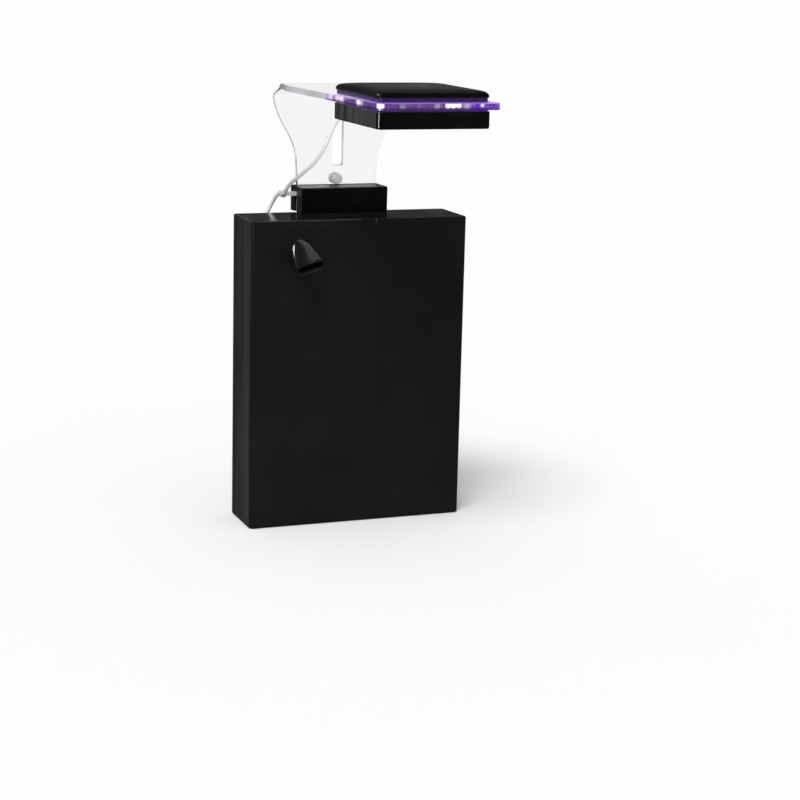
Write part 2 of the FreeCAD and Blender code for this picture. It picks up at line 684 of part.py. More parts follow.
def make_grommet():
    sleeve = rod(9.5, (OUT_X, HOUSE_FRONT, OUT_Z), Y_AXIS, WALL)
    outer_lip = rod(10.7, (OUT_X, HOUSE_FRONT - 1.2, OUT_Z), Y_AXIS, 1.2)
    inner_lip = rod(10.7, (OUT_X, IN_FRONT, OUT_Z), Y_AXIS, 1.2)
    ring = joined([sleeve, outer_lip, inner_lip])
    return ring.cut(rod(PIPE_R, (OUT_X, HOUSE_FRONT - 2, OUT_Z), Y_AXIS, 8.0))


def duckbill(grow):
    """The nozzle's outer form, or with grow below zero its water way."""
    sections = [(-69.5, 19.0, 19.0, 0.0), (-78.0, 22.5, 14.0, -4.6), (-88.5, 26.0, 9.5, -12.6)]
    wires = []
    for y, width, height, drop in sections:
        centre = (OUT_X, y, OUT_Z + drop)
        wires.append(pill_wire(centre, max(width, height + 0.4) + 2 * grow, height + 2 * grow))
    return Part.makeLoft(wires, True, False)


def make_nozzle():
    socket = rod(9.5, (OUT_X, -69.5, OUT_Z), Y_AXIS, 8.2)
    mouth = -1.6
    tail = Part.Face(pill_wire((OUT_X, -88.5, OUT_Z - 12.6), 26.0 + 2 * mouth, 9.5 + 2 * mouth))
    tail = tail.extrude(V(0, -1.0, 0))
    bore = rod(PIPE_R + RUN_FIT, (OUT_X, -69.5, OUT_Z), Y_AXIS, 9.0)
    nozzle = joined([socket, duckbill(0.0)]).cut(duckbill(mouth)).cut(bore).cut(tail)
    nozzle.rotate(V(OUT_X, 0, OUT_Z), Y_AXIS, NOZZLE_ROLL)
    return nozzle


# ---------------------------------------------------------------- filter media
def make_sponge():
    return rounded_block(*SPONGE_X, -56.0, -7.0, IN_FLOOR + 0.5, SPONGE_TOP, 4.0)


def make_basket():
    (x0, x1), (y0, y1), (z0, z1) = BASKET_X, BASKET_Y, BASKET_Z
    wall = BASKET_WALL
    shell = rounded_block(x0, x1, y0, y1, z0, z1, 3.0)
    shell = shell.cut(rounded_block(x0 + wall, x1 - wall, y0 + wall, y1 - wall, z0 + wall, z1 + 1,
                                    3.0 - wall))
    cuts = []
    for column in range(9):
        x = x0 + 4.5 + column * 7.6
        cuts.append(block(x, x + 3.4, y0 + 5, y1 - 5, z0 - 1, z0 + 3))
        for row in range(3):
            z = z0 + 10 + row * 54
            cuts.append(block(x, x + 3.4, y0 - 1, y0 + 3, z, z + 44))
            cuts.append(block(x, x + 3.4, y1 - 3, y1 + 1, z, z + 44))
    shell = shell.cut(Part.makeCompound(cuts))
    middle = (x0 + x1) / 2
    posts = [block(middle - 5, middle + 5, y, y + wall, z1 - 1, z1 + 16)
             for y in (y0, y1 - wall)]
    bar = block(middle - 5, middle + 5, y0, y1, z1 + 13, z1 + 16)
    return joined([shell, bar] + posts)


def make_rings():
    rings = []
    for column in range(5):
        for row in range(3):
            for layer in range(3):
                x = -30.2 + column * 14.2
                y = -52.6 + row * 14.3
                z = -262.6 + layer * 14.0
                rings.append(pipe(RING_R, RING_R / 2, (x, y, z), Y_AXIS, RING_LONG))
    return Part.makeCompound(rings)


def make_carbon_pouch():
    low, high = POUCH_Z
    pouch = rounded_block(-36.0, 32.4, -53.0, -10.0, low, high, 10.0)
    return soften(pouch, 8.0, lambda e: is_level_at(low)(e) or is_level_at(high)(e))


def make_floss():
    return rounded_block(-36.2, 32.6, -53.8, -9.4, *FLOSS_Z, 3.0)


# ---------------------------------------------------------------- lamp lead
def cord_path(points):
    """Straight runs joined by tangent arcs; prints the least radius."""
    places = [V(*p) for p in points]
    edges = []
    radii = []
    at = places[0]
    for before, corner, after in zip(places, places[1:], places[2:]):
        back = before - corner
        ahead = after - corner
        half_turn = (math.pi - back.getAngle(ahead)) / 2
        reach = 0.45 * min(back.Length, ahead.Length)
        radii.append(reach / math.tan(half_turn))
        back.normalize()
        ahead.normalize()
        start = corner + back * reach
        end = corner + ahead * reach
        inward = back + ahead
        inward.normalize()
        depth = radii[-1] / math.cos(half_turn) - radii[-1]
        edges.append(Part.LineSegment(at, start).toShape())
        edges.append(Part.Arc(start, corner + inward * depth, end).toShape())
        at = end
    edges.append(Part.LineSegment(at, places[-1]).toShape())
    print("radii", [round(r, 1) for r in radii], "least", round(min(radii), 1))
    return Part.Wire(edges)


def cord_tube(points):
    path = cord_path(points)
    start = V(*points[0])
    circle = Part.makeCircle(LEAD_D / 2, start, V(*points[1]) - start)
    tube = path.makePipeShell([Part.Wire(circle)], True, False)
    wanted = path.Length * math.pi * (LEAD_D / 2) ** 2
    print("lead length", round(path.Length, 1), "volume ratio", round(tube.Volume / wanted, 4))
    return tube


def make_coil():
    bundle = COIL_LAYERS * LEAD_D
    inner = COIL_MID_R - bundle / 2
    outer = COIL_MID_R + bundle / 2
    x, y = COIL_AT
    ring = pipe(outer, inner, (x, y, HOUSE_FLOOR), Z_AXIS, bundle)
    return soften(ring, 1.5, lambda e: e.Length > 60 and e.BoundBox.ZLength < 0.01)


def make_coil_tie():
    bundle = COIL_LAYERS * LEAD_D
    x, y = COIL_AT
    inner = COIL_MID_R - bundle / 2
    outer = COIL_MID_R + bundle / 2
    band = block(inner - 0.8, outer + 0.8, -3.0, 3.0, HOUSE_FLOOR, HOUSE_FLOOR + bundle + 0.8)
    band = band.cut(block(inner, outer, -4.0, 4.0, HOUSE_FLOOR - 1, HOUSE_FLOOR + bundle))
    band.rotate(V(0, 0, 0), Z_AXIS, 140.0)
    band.translate(V(x, y, 0))
    return band


def make_lead_plug():
    x, y, z = TAIL_ROUTE[-1]
    boot = Part.makeCone(2.4, 4.05, 9.0, V(x, y, z), X_AXIS)
    grip = rod(4.05, (x + 9.0, y, z), X_AXIS, 14.0)
    barrel = rod(2.75, (x + 23.0, y, z), X_AXIS, 9.5)
    return joined([boot, grip, barrel])


# ---------------------------------------------------------------- build
def build_parts():
    return {
        "housing": make_housing(),
        "lid": make_lid(),
        "pump_divider": make_divider(PUMP_DIVIDER_X, True, -26.0),
        "media_divider": make_divider(MEDIA_DIVIDER_X, False, -62.0),
        "wall_bumpers": make_bumpers(),
        "hanger_block": make_hanger(),
        "hanger_screws": make_hanger_screws(),
        "rim_seat_pad": make_rim_seat(),
        "glass_pads": make_glass_pads(),
        "lead_clip": make_lead_clip(),
        "lamp_arm": make_arm(),
        "stop_screw": make_stop_screw(),
        "stop_knob": make_stop_knob(),
        "lamp_lower_shell": make_lower_shell(),
        "lower_glow_spacer": make_glow_spacer(LOWER_TOP, ARM_TOP - SHEET,
                                              LOWER_CORNER - GLOW_INSET),
        "upper_glow_spacer": make_glow_spacer(ARM_TOP, UPPER_FOOT, UPPER_CORNER - GLOW_INSET),
        "lamp_top_shell": make_top_shell(),
        "lamp_screws": make_lamp_screws(),
        "lamp_lens": make_lens(),
        "led_board": make_led_board(),
        "leds": make_leds(),
        "heat_spreader": make_heat_spreader(),
        "lead_gland": make_lead_gland(),
        "pump_body": make_pump_body(),
        "pump_cover": make_pump_cover(),
        "flow_slider": make_flow_slider(),
        "impeller": make_impeller(),
        "rotor_magnet": make_magnet(),
        "impeller_shaft": make_shaft(),
        "shaft_bushes": make_bushes(),
        "pump_feet": make_pump_feet(),
        "pump_gland": make_pump_gland(),
        "riser_pipe": make_riser(),
        "outlet_elbow": make_elbow(),
        "wall_grommet": make_grommet(),
        "outlet_nozzle": make_nozzle(),
        "sponge": make_sponge(),
        "media_basket": make_basket(),
        "ceramic_rings": make_rings(),
        "carbon_pouch": make_carbon_pouch(),
        "floss_pad": make_floss(),
        "lead_tube": cord_tube(LEAD_ROUTE),
        "lead_coil": make_coil(),
        "lead_tail": cord_tube(TAIL_ROUTE),
        "coil_tie": make_coil_tie(),
        "lead_plug": make_lead_plug(),
    }


os.makedirs("parts", exist_ok=True)
for name, shape in build_parts().items():
    if not shape.isValid():
        print("not valid:", name)
    shape.exportStep("parts/" + name + ".step")
    print(f"{name:20s} solids {len(shape.Solids):3d}  volume {shape.Volume / 1000:8.2f} cm3")
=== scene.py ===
import json
import math
import bmesh
import bpy
from mathutils import Matrix, Vector, noise


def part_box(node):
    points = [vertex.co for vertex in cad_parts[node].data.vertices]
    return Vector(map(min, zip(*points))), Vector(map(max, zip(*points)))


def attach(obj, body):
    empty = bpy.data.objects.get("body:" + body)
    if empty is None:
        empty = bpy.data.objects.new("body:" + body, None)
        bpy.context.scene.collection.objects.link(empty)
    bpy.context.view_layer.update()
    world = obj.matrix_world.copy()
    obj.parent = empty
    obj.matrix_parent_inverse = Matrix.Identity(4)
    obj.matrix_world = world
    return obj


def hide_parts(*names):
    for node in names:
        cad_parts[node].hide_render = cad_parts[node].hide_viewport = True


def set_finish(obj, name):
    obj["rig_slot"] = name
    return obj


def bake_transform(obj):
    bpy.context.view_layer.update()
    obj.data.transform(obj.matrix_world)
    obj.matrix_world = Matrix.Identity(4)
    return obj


# Looks for a hang-on aquarium filter with a lamp on its hanger.  Metres, in the frame of the CAD
# model: X to the right, Y to the rear, Z up, with the origin in the middle of the rim seat.

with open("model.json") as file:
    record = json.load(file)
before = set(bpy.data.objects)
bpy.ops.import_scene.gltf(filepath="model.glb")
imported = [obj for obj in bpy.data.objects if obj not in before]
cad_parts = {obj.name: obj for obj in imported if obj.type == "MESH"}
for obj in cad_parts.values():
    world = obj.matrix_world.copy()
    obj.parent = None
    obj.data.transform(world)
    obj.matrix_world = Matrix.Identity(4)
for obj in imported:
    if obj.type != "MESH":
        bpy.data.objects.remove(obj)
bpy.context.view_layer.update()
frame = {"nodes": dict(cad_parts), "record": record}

MM = 0.001

# ---- places read from the frame
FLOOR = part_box("housing")[0].z
GLAND_LOW, GLAND_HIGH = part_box("lead_gland")
TOP_LOW, TOP_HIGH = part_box("lamp_top_shell")
PLUG_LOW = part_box("lead_plug")[0]

# ---- camera, solved from the photographed tank
EYE = Vector((-0.5865, -1.6493, 0.2100))
EYE_AZIMUTH = 21.48        # degrees right of +Y
EYE_PITCH = 12.61          # degrees down
EYE_ROLL = 1.43            # degrees
EYE_LENS = 89.9            # mm on a sensor 36 mm wide

# ---- studio
WORLD_GLOSS = 0.030        # what polished faces reflect where no strip light stands
WORLD_FILL = 0.525         # what lights dull faces from all round
BOUNCES = 32               # light is passed on many times within the clear sheet
KEY_SUN = 2.15             # watts per square metre
KEY_SOFT = 24              # degrees the key light spreads over
KEY_FROM = (-1.0, -1.4, 2.4)
LIGHT_AIM = (0, -0.05, -0.1)
FLOOR_REACH = 60.0         # metres each way
STRIPS = [                 # name, place, width and height, watts
    ("left rear strip", (-0.54, 1.09, -0.30), (0.10, 1.1), 0.15),
    ("upper left panel", (-0.87, 0.27, 0.91), (0.25, 0.50), 6.5),
    ("left strip", (-1.28, -0.68, -0.045), (0.30, 0.08), 2.4),
    ("rear panel", (0.20, 0.45, 0.147), (0.60, 0.07), 0.11),
]

# ---- outlet
OUT_AXIS = (-58.0, -36.0)  # X and Z of the spigot
NOZZLE_ROLL = -15.5        # degrees about +Y

# ---- where a finish changes: metres along an axis, from none to all of the change
SHADED_BLACK_Z = (0.030, 0.060)      # from the box up to the hanger and the lamp, painted deeper black: painted shade
COVER_SHEEN_Z = (0.1050, 0.1072)    # the level top of the lamp, painted paler: a painted sheen
LAMP_LIGHT_Y = (-0.104, -0.124)    # from the bare sheet to the part that the lamp lights
LIT_EDGE_Z = (0.0944, 0.0956)      # from the dim lower to the bright upper part of the sheet's edge
EDGE_HUE_X = (0.012, 0.030)        # left of it the front edge is paler and dimmer
LILAC_Y = (-0.215, -0.150)         # the lit top pales to the rear
SHEET_MID_Z = 0.096
SHEET_GAP = (0.0062, 0.0025)       # away from the sheet's middle the rings glow less

# ---- light in the clear sheet: place in millimetres, reach in millimetres and weight
GLOW_SPOTS = [
    ((-49.5, -228.0, 97.0), 4.8, 1.6), ((-51.0, -188.0, 97.0), 6.5, 0.9),
    ((-51.0, -195.0, 97.0), 5.0, 0.5), ((-51.0, -152.0, 97.0), 9.0, 0.7),
    ((-51.0, -142.0, 97.0), 8.0, 0.7), ((-50.0, -128.0, 97.0), 10.0, 0.7),
    ((6.0, -229.0, 97.2), 3.6, 1.2), ((10.5, -229.0, 97.2), 3.6, 1.3),
    ((15.0, -229.0, 97.2), 3.4, 1.1), ((21.5, -229.0, 97.0), 5.0, 0.40),
    ((34.5, -229.0, 97.3), 2.4, 0.75), ((-31.0, -229.0, 96.5), 4.0, 0.22),
    ((-3.0, -229.0, 97.0), 4.0, 0.30),
]

# ---- the lamp's lead: the CAD route's points in millimetres, which metres() turns into metres
LEAD_D = 3.5 * MM
LEAD_SIDES = 16
LEAD_LINE = FLOOR / MM + 1.75      # height of its middle where it lies on the floor
LEAD_ROUTE = [
    (-30.0, -103.0, 84.0), (-30.4, -96.0, 82.0), (-33.0, -89.0, 76.0), (-37.5, -87.0, 68.0),
    (-40.4, -87.5, 60.5), (-43.3, -84.0, 50.8), (-45.2, -77.0, 43.4), (-47.0, -66.0, 35.7),
    (-48.6, -51.0, 28.8), (-50.0, -35.0, 21.8), (-51.6, -21.0, 15.4), (-52.4, -11.5, 8.6),
    (-52.0, -4.0, 3.7), (-52.0, 5.0, 3.7), (-52.6, 13.0, 1.5), (-54.8, 18.5, -5.0),
    (-59.0, 19.5, -14.0),
    (-65.0, 18.0, -26.0), (-70.0, 16.0, -44.0), (-73.0, 15.0, -74.0), (-74.5, 16.5, -118.0),
    (-74.0, 15.0, -166.0), (-72.0, 16.0, -210.0), (-69.0, 19.0, -240.0), (-63.0, 26.0, -260.0),
    (-53.0, 36.0, -272.0), (-40.0, 45.5, LEAD_LINE), (-25.0, 50.0, LEAD_LINE),
    (-10.0, 49.0, LEAD_LINE),
]
TAIL_ROUTE = [
    (9.0, 44.0, LEAD_LINE + 0.6), (18.5, 43.2, LEAD_LINE), (27.5, 41.8, LEAD_LINE + 0.4),
    (37.0, 40.8, LEAD_LINE + 1.4), (46.5, 41.0, LEAD_LINE + 2.3),
]
COIL_AT = (-3.0, 70.0)
COIL_MID_R = 18.6          # middle of the bundle
COIL_TURNS = 8
COIL_POINTS = 16           # control points in each turn
COIL_LIFT = 0.6            # the tie passes under the bundle
COIL_PITCH = 3.6           # between the middles of neighbouring turns
COIL_TIE_AT = 140.0        # degrees round the coil
COIL_CHANGE = 0.12         # share of a turn in which the lead moves to its next place
# After so many turns the lead moves to this column (outwards) and layer (up) of the bundle.
COIL_CHANGES = [
    (0.86, (0, 0)), (1.82, (-1, 0)), (2.78, (-1, 1)), (3.74, (0, 1)), (4.70, (1, 1)),
    (5.58, (0.5, 1.87)), (5.70, (-0.5, 1.87)), (6.62, (0.5, 1.87)), (7.60, (2, 1.1)),
]

# ---- stuffed filter media
CLOTH_CELL = 4.0 * MM
CLOTH_FRAMES = 25
CLOTH_QUALITY = 6
CLOTH_MASS = 0.1
CLOTH_STIFFNESS = 5.0
SPONGE_CELL = 2.4 * MM
SPONGE_CORNER = 3.0 * MM


def metres(points):
    return [Vector(p) * MM for p in points]


def eased(share):
    share = min(1.0, max(0.0, share))
    return share * share * (3 - 2 * share)


# ---------------------------------------------------------------- camera
def make_camera():
    data = bpy.data.cameras.new("camera")
    data.lens = EYE_LENS
    data.sensor_width = 36.0
    data.clip_start = 0.05
    data.clip_end = 200.0
    camera = bpy.data.objects.new("camera", data)
    bpy.context.scene.collection.objects.link(camera)
    turn = Matrix.Rotation(math.radians(-EYE_AZIMUTH), 4, "Z")
    tip = Matrix.Rotation(math.radians(90 - EYE_PITCH), 4, "X")
    roll = Matrix.Rotation(math.radians(EYE_ROLL), 4, "Z")
    camera.matrix_world = Matrix.Translation(EYE) @ turn @ tip @ roll
    bpy.context.scene.camera = camera


# ---------------------------------------------------------------- mesh helpers
def make_object(name, bm, sharp_angle=35.0):
    mesh = bpy.data.meshes.new(name)
    bmesh.ops.recalc_face_normals(bm, faces=bm.faces)
    bm.to_mesh(mesh)
    bm.free()
    mesh.shade_smooth()
    mesh.set_sharp_from_angle(angle=math.radians(sharp_angle))
    piece = bpy.data.objects.new(name, mesh)
    bpy.context.scene.collection.objects.link(piece)
    return piece


def loft(bm, rings, closed=False):
    """Joins rings of equally many points with quads; an open row of rings gets its ends capped."""
    made = [[bm.verts.new(p) for p in ring] for ring in rings]
    pairs = list(zip(made, made[1:]))
    if closed:
        pairs.append((made[-1], made[0]))
    count = len(made[0])
    for low, high in pairs:
        for i in range(count):
            j = (i + 1) % count
            bm.faces.new((low[i], low[j], high[j], high[i]))
    if not closed:
        bm.faces.new(list(reversed(made[0])))
        bm.faces.new(made[-1])


def smooth_line(points):
    """The places along a NURBS spline that has these control points."""
    curve = bpy.data.curves.new("route", "CURVE")
    curve.dimensions = "3D"
    spline = curve.splines.new("NURBS")
    spline.points.add(len(points) - 1)
    for place, control in zip(points, spline.points):
        control.co = (*place, 1.0)
    spline.order_u = 3
    spline.use_endpoint_u = True
    spline.resolution_u = 8
    holder = bpy.data.objects.new("route", curve)
    mesh = bpy.data.meshes.new_from_object(holder)
    line = [v.co.copy() for v in mesh.vertices]
    bpy.data.objects.remove(holder)
    bpy.data.curves.remove(curve)
    bpy.data.meshes.remove(mesh)
    return line


def rings_along(line, radius, sides):
    """Circles square to a line, carried along it without twist."""
    rings = []
    side = None
    for i, place in enumerate(line):
        ahead = (line[min(i + 1, len(line) - 1)] - line[max(i - 1, 0)]).normalized()
        if side is None:
            side = ahead.orthogonal().normalized()
        side = (side - ahead * side.dot(ahead)).normalized()
        other = ahead.cross(side)
        rings.append([
            place + radius * (math.cos(a) * side + math.sin(a) * other)
            for a in (2 * math.pi * k / sides for k in range(sides))
        ])
    return rings


def coil_slot(turned):
    """Column and layer of the bundle in which the lead lies after so many turns."""
    column, layer = 1.0, 0.0
    for start, (next_column, next_layer) in COIL_CHANGES:
        share = eased((turned - start) / COIL_CHANGE)
        column += (next_column - column) * share
        layer += (next_layer - layer) * share
    return column, layer


def coil_route():
    points = []
    shrink = math.cos(math.pi / COIL_POINTS)
    for step in range(COIL_TURNS * COIL_POINTS + 1):
        turned = step / COIL_POINTS
        column, layer = coil_slot(turned)
        reach = (COIL_MID_R + column * COIL_PITCH) / shrink
        angle = 2 * math.pi * turned - math.pi / 2
        points.append((COIL_AT[0] + reach * math.cos(angle), COIL_AT[1] + reach * math.sin(angle),
                       LEAD_LINE + COIL_LIFT + layer * COIL_PITCH))
    return points


def make_lead():
    line = smooth_line(metres(LEAD_ROUTE + coil_route() + TAIL_ROUTE))
    bm = bmesh.new()
    loft(bm, rings_along(line, LEAD_D / 2, LEAD_SIDES))
    lead = make_object("lamp_lead", bm, sharp_angle=70.0)
    return lead, line


# ---------------------------------------------------------------- finishes
class Finish:
    """One material's nodes, worked out in metres in the frame of the body that a piece is on."""

    def __init__(self, name, colour, roughness, **sockets):
        self.slot = name
        self.material = bpy.data.materials.new(name)
        self.material.use_nodes = True
        self.nodes = self.material.node_tree.nodes
        self.links = self.material.node_tree.links
        self.shader = self.nodes["Principled BSDF"]
        self.shader.inputs["Base Color"].default_value = (*colour, 1.0)
        self.shader.inputs["Roughness"].default_value = roughness
        for socket, value in sockets.items():
            self.shader.inputs[socket.replace("_", " ")].default_value = value
        self.place = self.nodes.new("ShaderNodeTexCoord").outputs["Object"]
        self.bumps = None

    def put(self, socket, value):
        """Links a socket, or sets a number, a vector or a colour."""
        if isinstance(value, bpy.types.NodeSocket):
            self.links.new(value, socket)
        elif isinstance(value, tuple) and len(value) == 3 and socket.type == "RGBA":
            socket.default_value = (*value, 1.0)
        else:
            socket.default_value = value

    def add(self, kind, inputs, output=0, **settings):
        """Makes a node with its settings and inputs, and gives one of its outputs."""
        node = self.nodes.new(kind)
        for name, value in settings.items():
            setattr(node, name, value)
        for name, value in inputs.items():
            self.put(node.inputs[name], value)
        return node.outputs[output]

    def calc(self, operation, *values):
        return self.add("ShaderNodeMath", dict(enumerate(values)), operation=operation)

    def stretched(self, scale):
        return self.add("ShaderNodeMapping", {"Vector": self.place, "Scale": scale})

    def grain(self, size, detail=3.0, stretch=(1.0, 1.0, 1.0)):
        """Noise from 0 to 1 whose blotches are about size metres across."""
        return self.add("ShaderNodeTexNoise", {
            "Vector": self.stretched(stretch), "Scale": 1.0 / size, "Detail": detail})

    def cells(self, size, feature="F1"):
        """Distance within cells that are about size metres across."""
        return self.add("ShaderNodeTexVoronoi", {"Vector": self.place, "Scale": 1.0 / size},
                        feature=feature)

    def between(self, value, low, high, out_low=0.0, out_high=1.0):
        """Turns low to high smoothly into out_low to out_high."""
        return self.add("ShaderNodeMapRange", {
            "Value": value, "From Min": low, "From Max": high, "To Min": out_low,
            "To Max": out_high}, interpolation_type="SMOOTHSTEP")

    def blend(self, share, first, second):
        return self.add("ShaderNodeMix", {0: share, 6: first, 7: second}, output=2,
                        data_type="RGBA")

    def component(self, vector, name):
        return self.add("ShaderNodeSeparateXYZ", {0: vector}, output="XYZ".index(name))

    def axis(self, name):
        return self.component(self.place, name)

    def colour(self, value):
        self.links.new(value, self.shader.inputs["Base Color"])

    def roughness(self, value):
        self.links.new(value, self.shader.inputs["Roughness"])

    def glow_colour(self, value):
        self.links.new(value, self.shader.inputs["Emission Color"])

    def relief(self, height, depth):
        """Bump of that depth in metres, laid over the reliefs added before it."""
        inputs = {"Height": height, "Distance": depth}
        if self.bumps is not None:
            inputs["Normal"] = self.bumps
        self.bumps = self.add("ShaderNodeBump", inputs)
        self.links.new(self.bumps, self.shader.inputs["Normal"])

    def rounded(self, radius):
        """Softens how the light falls on sharp edges."""
        self.bumps = self.add("ShaderNodeBevel", {"Radius": radius}, samples=4)
        self.links.new(self.bumps, self.shader.inputs["Normal"])


def gloss_black():
    """Polished moulding with wipe marks and dust; above the box it is painted deeper black, a
    painted shade.
    """
    paint = Finish("black_gloss", (0.010, 0.010, 0.011), 0.14, IOR=1.5)
    paint.rounded(0.5 * MM)
    wipes = paint.grain(0.030, 4.0, (1.0, 1.0, 0.18))
    paint.roughness(paint.between(wipes, 0.3, 0.75, 0.10, 0.20))
    dust = paint.between(paint.grain(0.0011, 2.0), 0.70, 0.80)
    haze = paint.between(paint.grain(0.060, 3.0), 0.35, 0.75)
    black = paint.blend(haze, (0.0092, 0.0084, 0.0080), (0.0118, 0.0110, 0.0106))
    black = paint.blend(paint.calc("MULTIPLY", dust, haze), black, (0.0155, 0.0155, 0.0160))
    # painted shade: the hanger and the lamp above the box get a deeper black
    painted_shade_black = paint.blend(haze, (0.0030, 0.0028, 0.0027), (0.0042, 0.0040, 0.0039))
    paint.colour(paint.blend(paint.between(paint.axis("Z"), *SHADED_BLACK_Z), black, painted_shade_black))
    paint.relief(paint.grain(0.016, 1.0, (1.0, 1.0, 0.03)), 0.16 * MM)
    return paint


def satin_black():
    """Fine-grained moulding; the level top of the lamp is painted paler, a painted sheen."""
    paint = Finish("black_satin", (0.010, 0.010, 0.010), 0.38, IOR=1.48)
    paint.rounded(0.5 * MM)
    patches = paint.grain(0.022, 4.0)
    paint.roughness(paint.between(patches, 0.3, 0.7, 0.33, 0.45))
    black = paint.blend(patches, (0.0016, 0.0015, 0.0014), (0.0034, 0.0032, 0.0031))
    # painted sheen: the level top of the lamp is painted paler than the rest
    painted_top_sheen = paint.blend(patches, (0.017, 0.0165, 0.015), (0.026, 0.025, 0.023))
    paint.colour(paint.blend(paint.between(paint.axis("Z"), *COVER_SHEEN_Z), black, painted_top_sheen))
    paint.relief(paint.grain(0.0005, 2.0), 0.012 * MM)
    return paint


def hot_spots(paint):
    """The sum of the bright spots in the lit edge."""
    hot = None
    for (x, y, z), reach, weight in GLOW_SPOTS:
        apart = paint.add("ShaderNodeVectorMath", {0: paint.place, 1: (x * MM, y * MM, z * MM)},
                          output=1, operation="DISTANCE")
        spot = paint.between(apart, reach * MM, 0.2 * reach * MM, 0.0, weight)
        hot = spot if hot is None else paint.calc("ADD", hot, spot)
    return hot


def edge_glow(paint, hot):
    """Mottled violet of the lit edge, paler on the left, with near-white hot spots."""
    mottle = paint.between(paint.grain(0.0075, 3.0), 0.40, 0.68)
    streak = paint.between(paint.grain(0.0030, 2.0, (1.0, 1.0, 0.3)), 0.45, 0.80)
    left = paint.blend(mottle, (0.060, 0.022, 0.12), (0.13, 0.055, 0.27))
    left = paint.blend(streak, left, (0.18, 0.11, 0.30))
    right = paint.blend(mottle, (0.11, 0.020, 0.42), (0.18, 0.06, 0.58))
    violet = paint.blend(paint.between(paint.axis("X"), *EDGE_HUE_X), left, right)
    return paint.blend(paint.calc("MINIMUM", hot, 1.0), violet, (0.9, 0.84, 0.94))


def acrylic():
    """Clear sheet; the part under the lamp glows where its edges let the light out."""
    clear = (0.955, 0.955, 0.972)
    paint = Finish("clear_acrylic", clear, 0.02, IOR=1.49, Transmission_Weight=1.0)

    # Where: flat faces or edges, sawn side edges, the part that the lamp lights, outside faces.
    normal = paint.nodes.new("ShaderNodeTexCoord").outputs["Normal"]
    flat = paint.between(paint.calc("ABSOLUTE", paint.component(normal, "Z")), 0.4, 0.8)
    edge = paint.calc("SUBTRACT", 1.0, flat)
    near_lamp = paint.between(paint.axis("Y"), *LAMP_LIGHT_Y)
    lit_top = paint.calc("MULTIPLY", near_lamp, flat)
    sideways = paint.calc("ABSOLUTE", paint.component(normal, "X"))
    sawn = paint.calc("MULTIPLY", paint.between(sideways, 0.35, 0.7),
                      paint.calc("SUBTRACT", 1.0, near_lamp))
    inside = paint.nodes.new("ShaderNodeNewGeometry").outputs["Backfacing"]
    outside = paint.calc("SUBTRACT", 1.0, inside)

    # Fine marks run along the sheet; sawn and lit faces are duller.
    marks = paint.grain(0.0009, 2.0, (1.0, 0.08, 1.0))
    dull = paint.calc("MAXIMUM", paint.calc("MULTIPLY", lit_top, 0.36),
                      paint.calc("MULTIPLY", sawn, 0.30))
    paint.roughness(paint.calc("MAXIMUM", paint.between(marks, 0.35, 0.85, 0.015, 0.045), dull))
    paint.relief(paint.grain(0.045, 1.0), 0.10 * MM)

    hot = hot_spots(paint)
    lilac = paint.blend(paint.between(paint.axis("Y"), *LILAC_Y), (0.46, 0.26, 0.84),
                        (0.74, 0.66, 0.90))
    paint.glow_colour(paint.blend(edge, lilac, edge_glow(paint, hot)))
    lit_edge = paint.calc("MULTIPLY",
                          paint.calc("ADD", 0.9, paint.calc("MULTIPLY", hot, 0.6)),
                          paint.between(paint.axis("Z"), *LIT_EDGE_Z, 0.22, 0.85))
    level = paint.calc("ADD", paint.calc("MULTIPLY", lit_edge, edge),
                       paint.calc("MULTIPLY", flat, 0.5))
    level = paint.calc("MULTIPLY", level, paint.calc("MULTIPLY", near_lamp, outside))
    paint.links.new(level, paint.shader.inputs["Emission Strength"])

    body = paint.blend(sawn, clear, (0.74, 0.74, 0.77))
    paint.colour(paint.blend(paint.calc("MULTIPLY", near_lamp, edge), body, (0.12, 0.05, 0.28)))
    return paint


def purple_glow():
    """Dark violet rings between the shells and the sheet, brightest beside the sheet."""
    paint = Finish("purple_glow", (0.04, 0.015, 0.12), 0.36, IOR=1.49)
    mottle = paint.grain(0.006, 3.0)
    paint.colour(paint.blend(mottle, (0.010, 0.004, 0.030), (0.022, 0.008, 0.060)))
    paint.roughness(paint.between(mottle, 0.3, 0.7, 0.30, 0.44))
    gap = paint.calc("ABSOLUTE", paint.calc("SUBTRACT", paint.axis("Z"), SHEET_MID_Z))
    near_sheet = paint.between(gap, *SHEET_GAP)
    glow = paint.blend(near_sheet, (0.010, 0.002, 0.030), (0.030, 0.006, 0.105))
    paint.glow_colour(paint.blend(paint.between(mottle, 0.35, 0.75), glow, (0.018, 0.004, 0.060)))
    paint.shader.inputs["Emission Strength"].default_value = 0.9
    paint.relief(paint.grain(0.0008, 2.0), 0.015 * MM)
    return paint


def rubber(name, colour, **sockets):
    """Soft matt moulding with a faint bloom."""
    paint = Finish(name, colour, 0.6, IOR=1.5, **sockets)
    paint.rounded(0.25 * MM)
    bloom = paint.grain(0.006, 4.0)
    lighter = tuple(min(1.0, c * 1.3 + 0.004) for c in colour)
    paint.colour(paint.blend(bloom, colour, lighter))
    paint.roughness(paint.between(bloom, 0.3, 0.7, 0.52, 0.7))
    paint.relief(paint.grain(0.0004, 2.0), 0.02 * MM)
    return paint


def grey_plastic():
    """Slightly cloudy, half clear moulding."""
    paint = Finish("grey_plastic", (0.80, 0.81, 0.82), 0.34, IOR=1.49, Transmission_Weight=0.15)
    cloud = paint.grain(0.004, 3.0)
    paint.colour(paint.blend(cloud, (0.66, 0.67, 0.68), (0.78, 0.79, 0.80)))
    paint.roughness(paint.between(cloud, 0.3, 0.7, 0.20, 0.34))
    paint.relief(paint.grain(0.0006, 2.0), 0.012 * MM)
    return paint


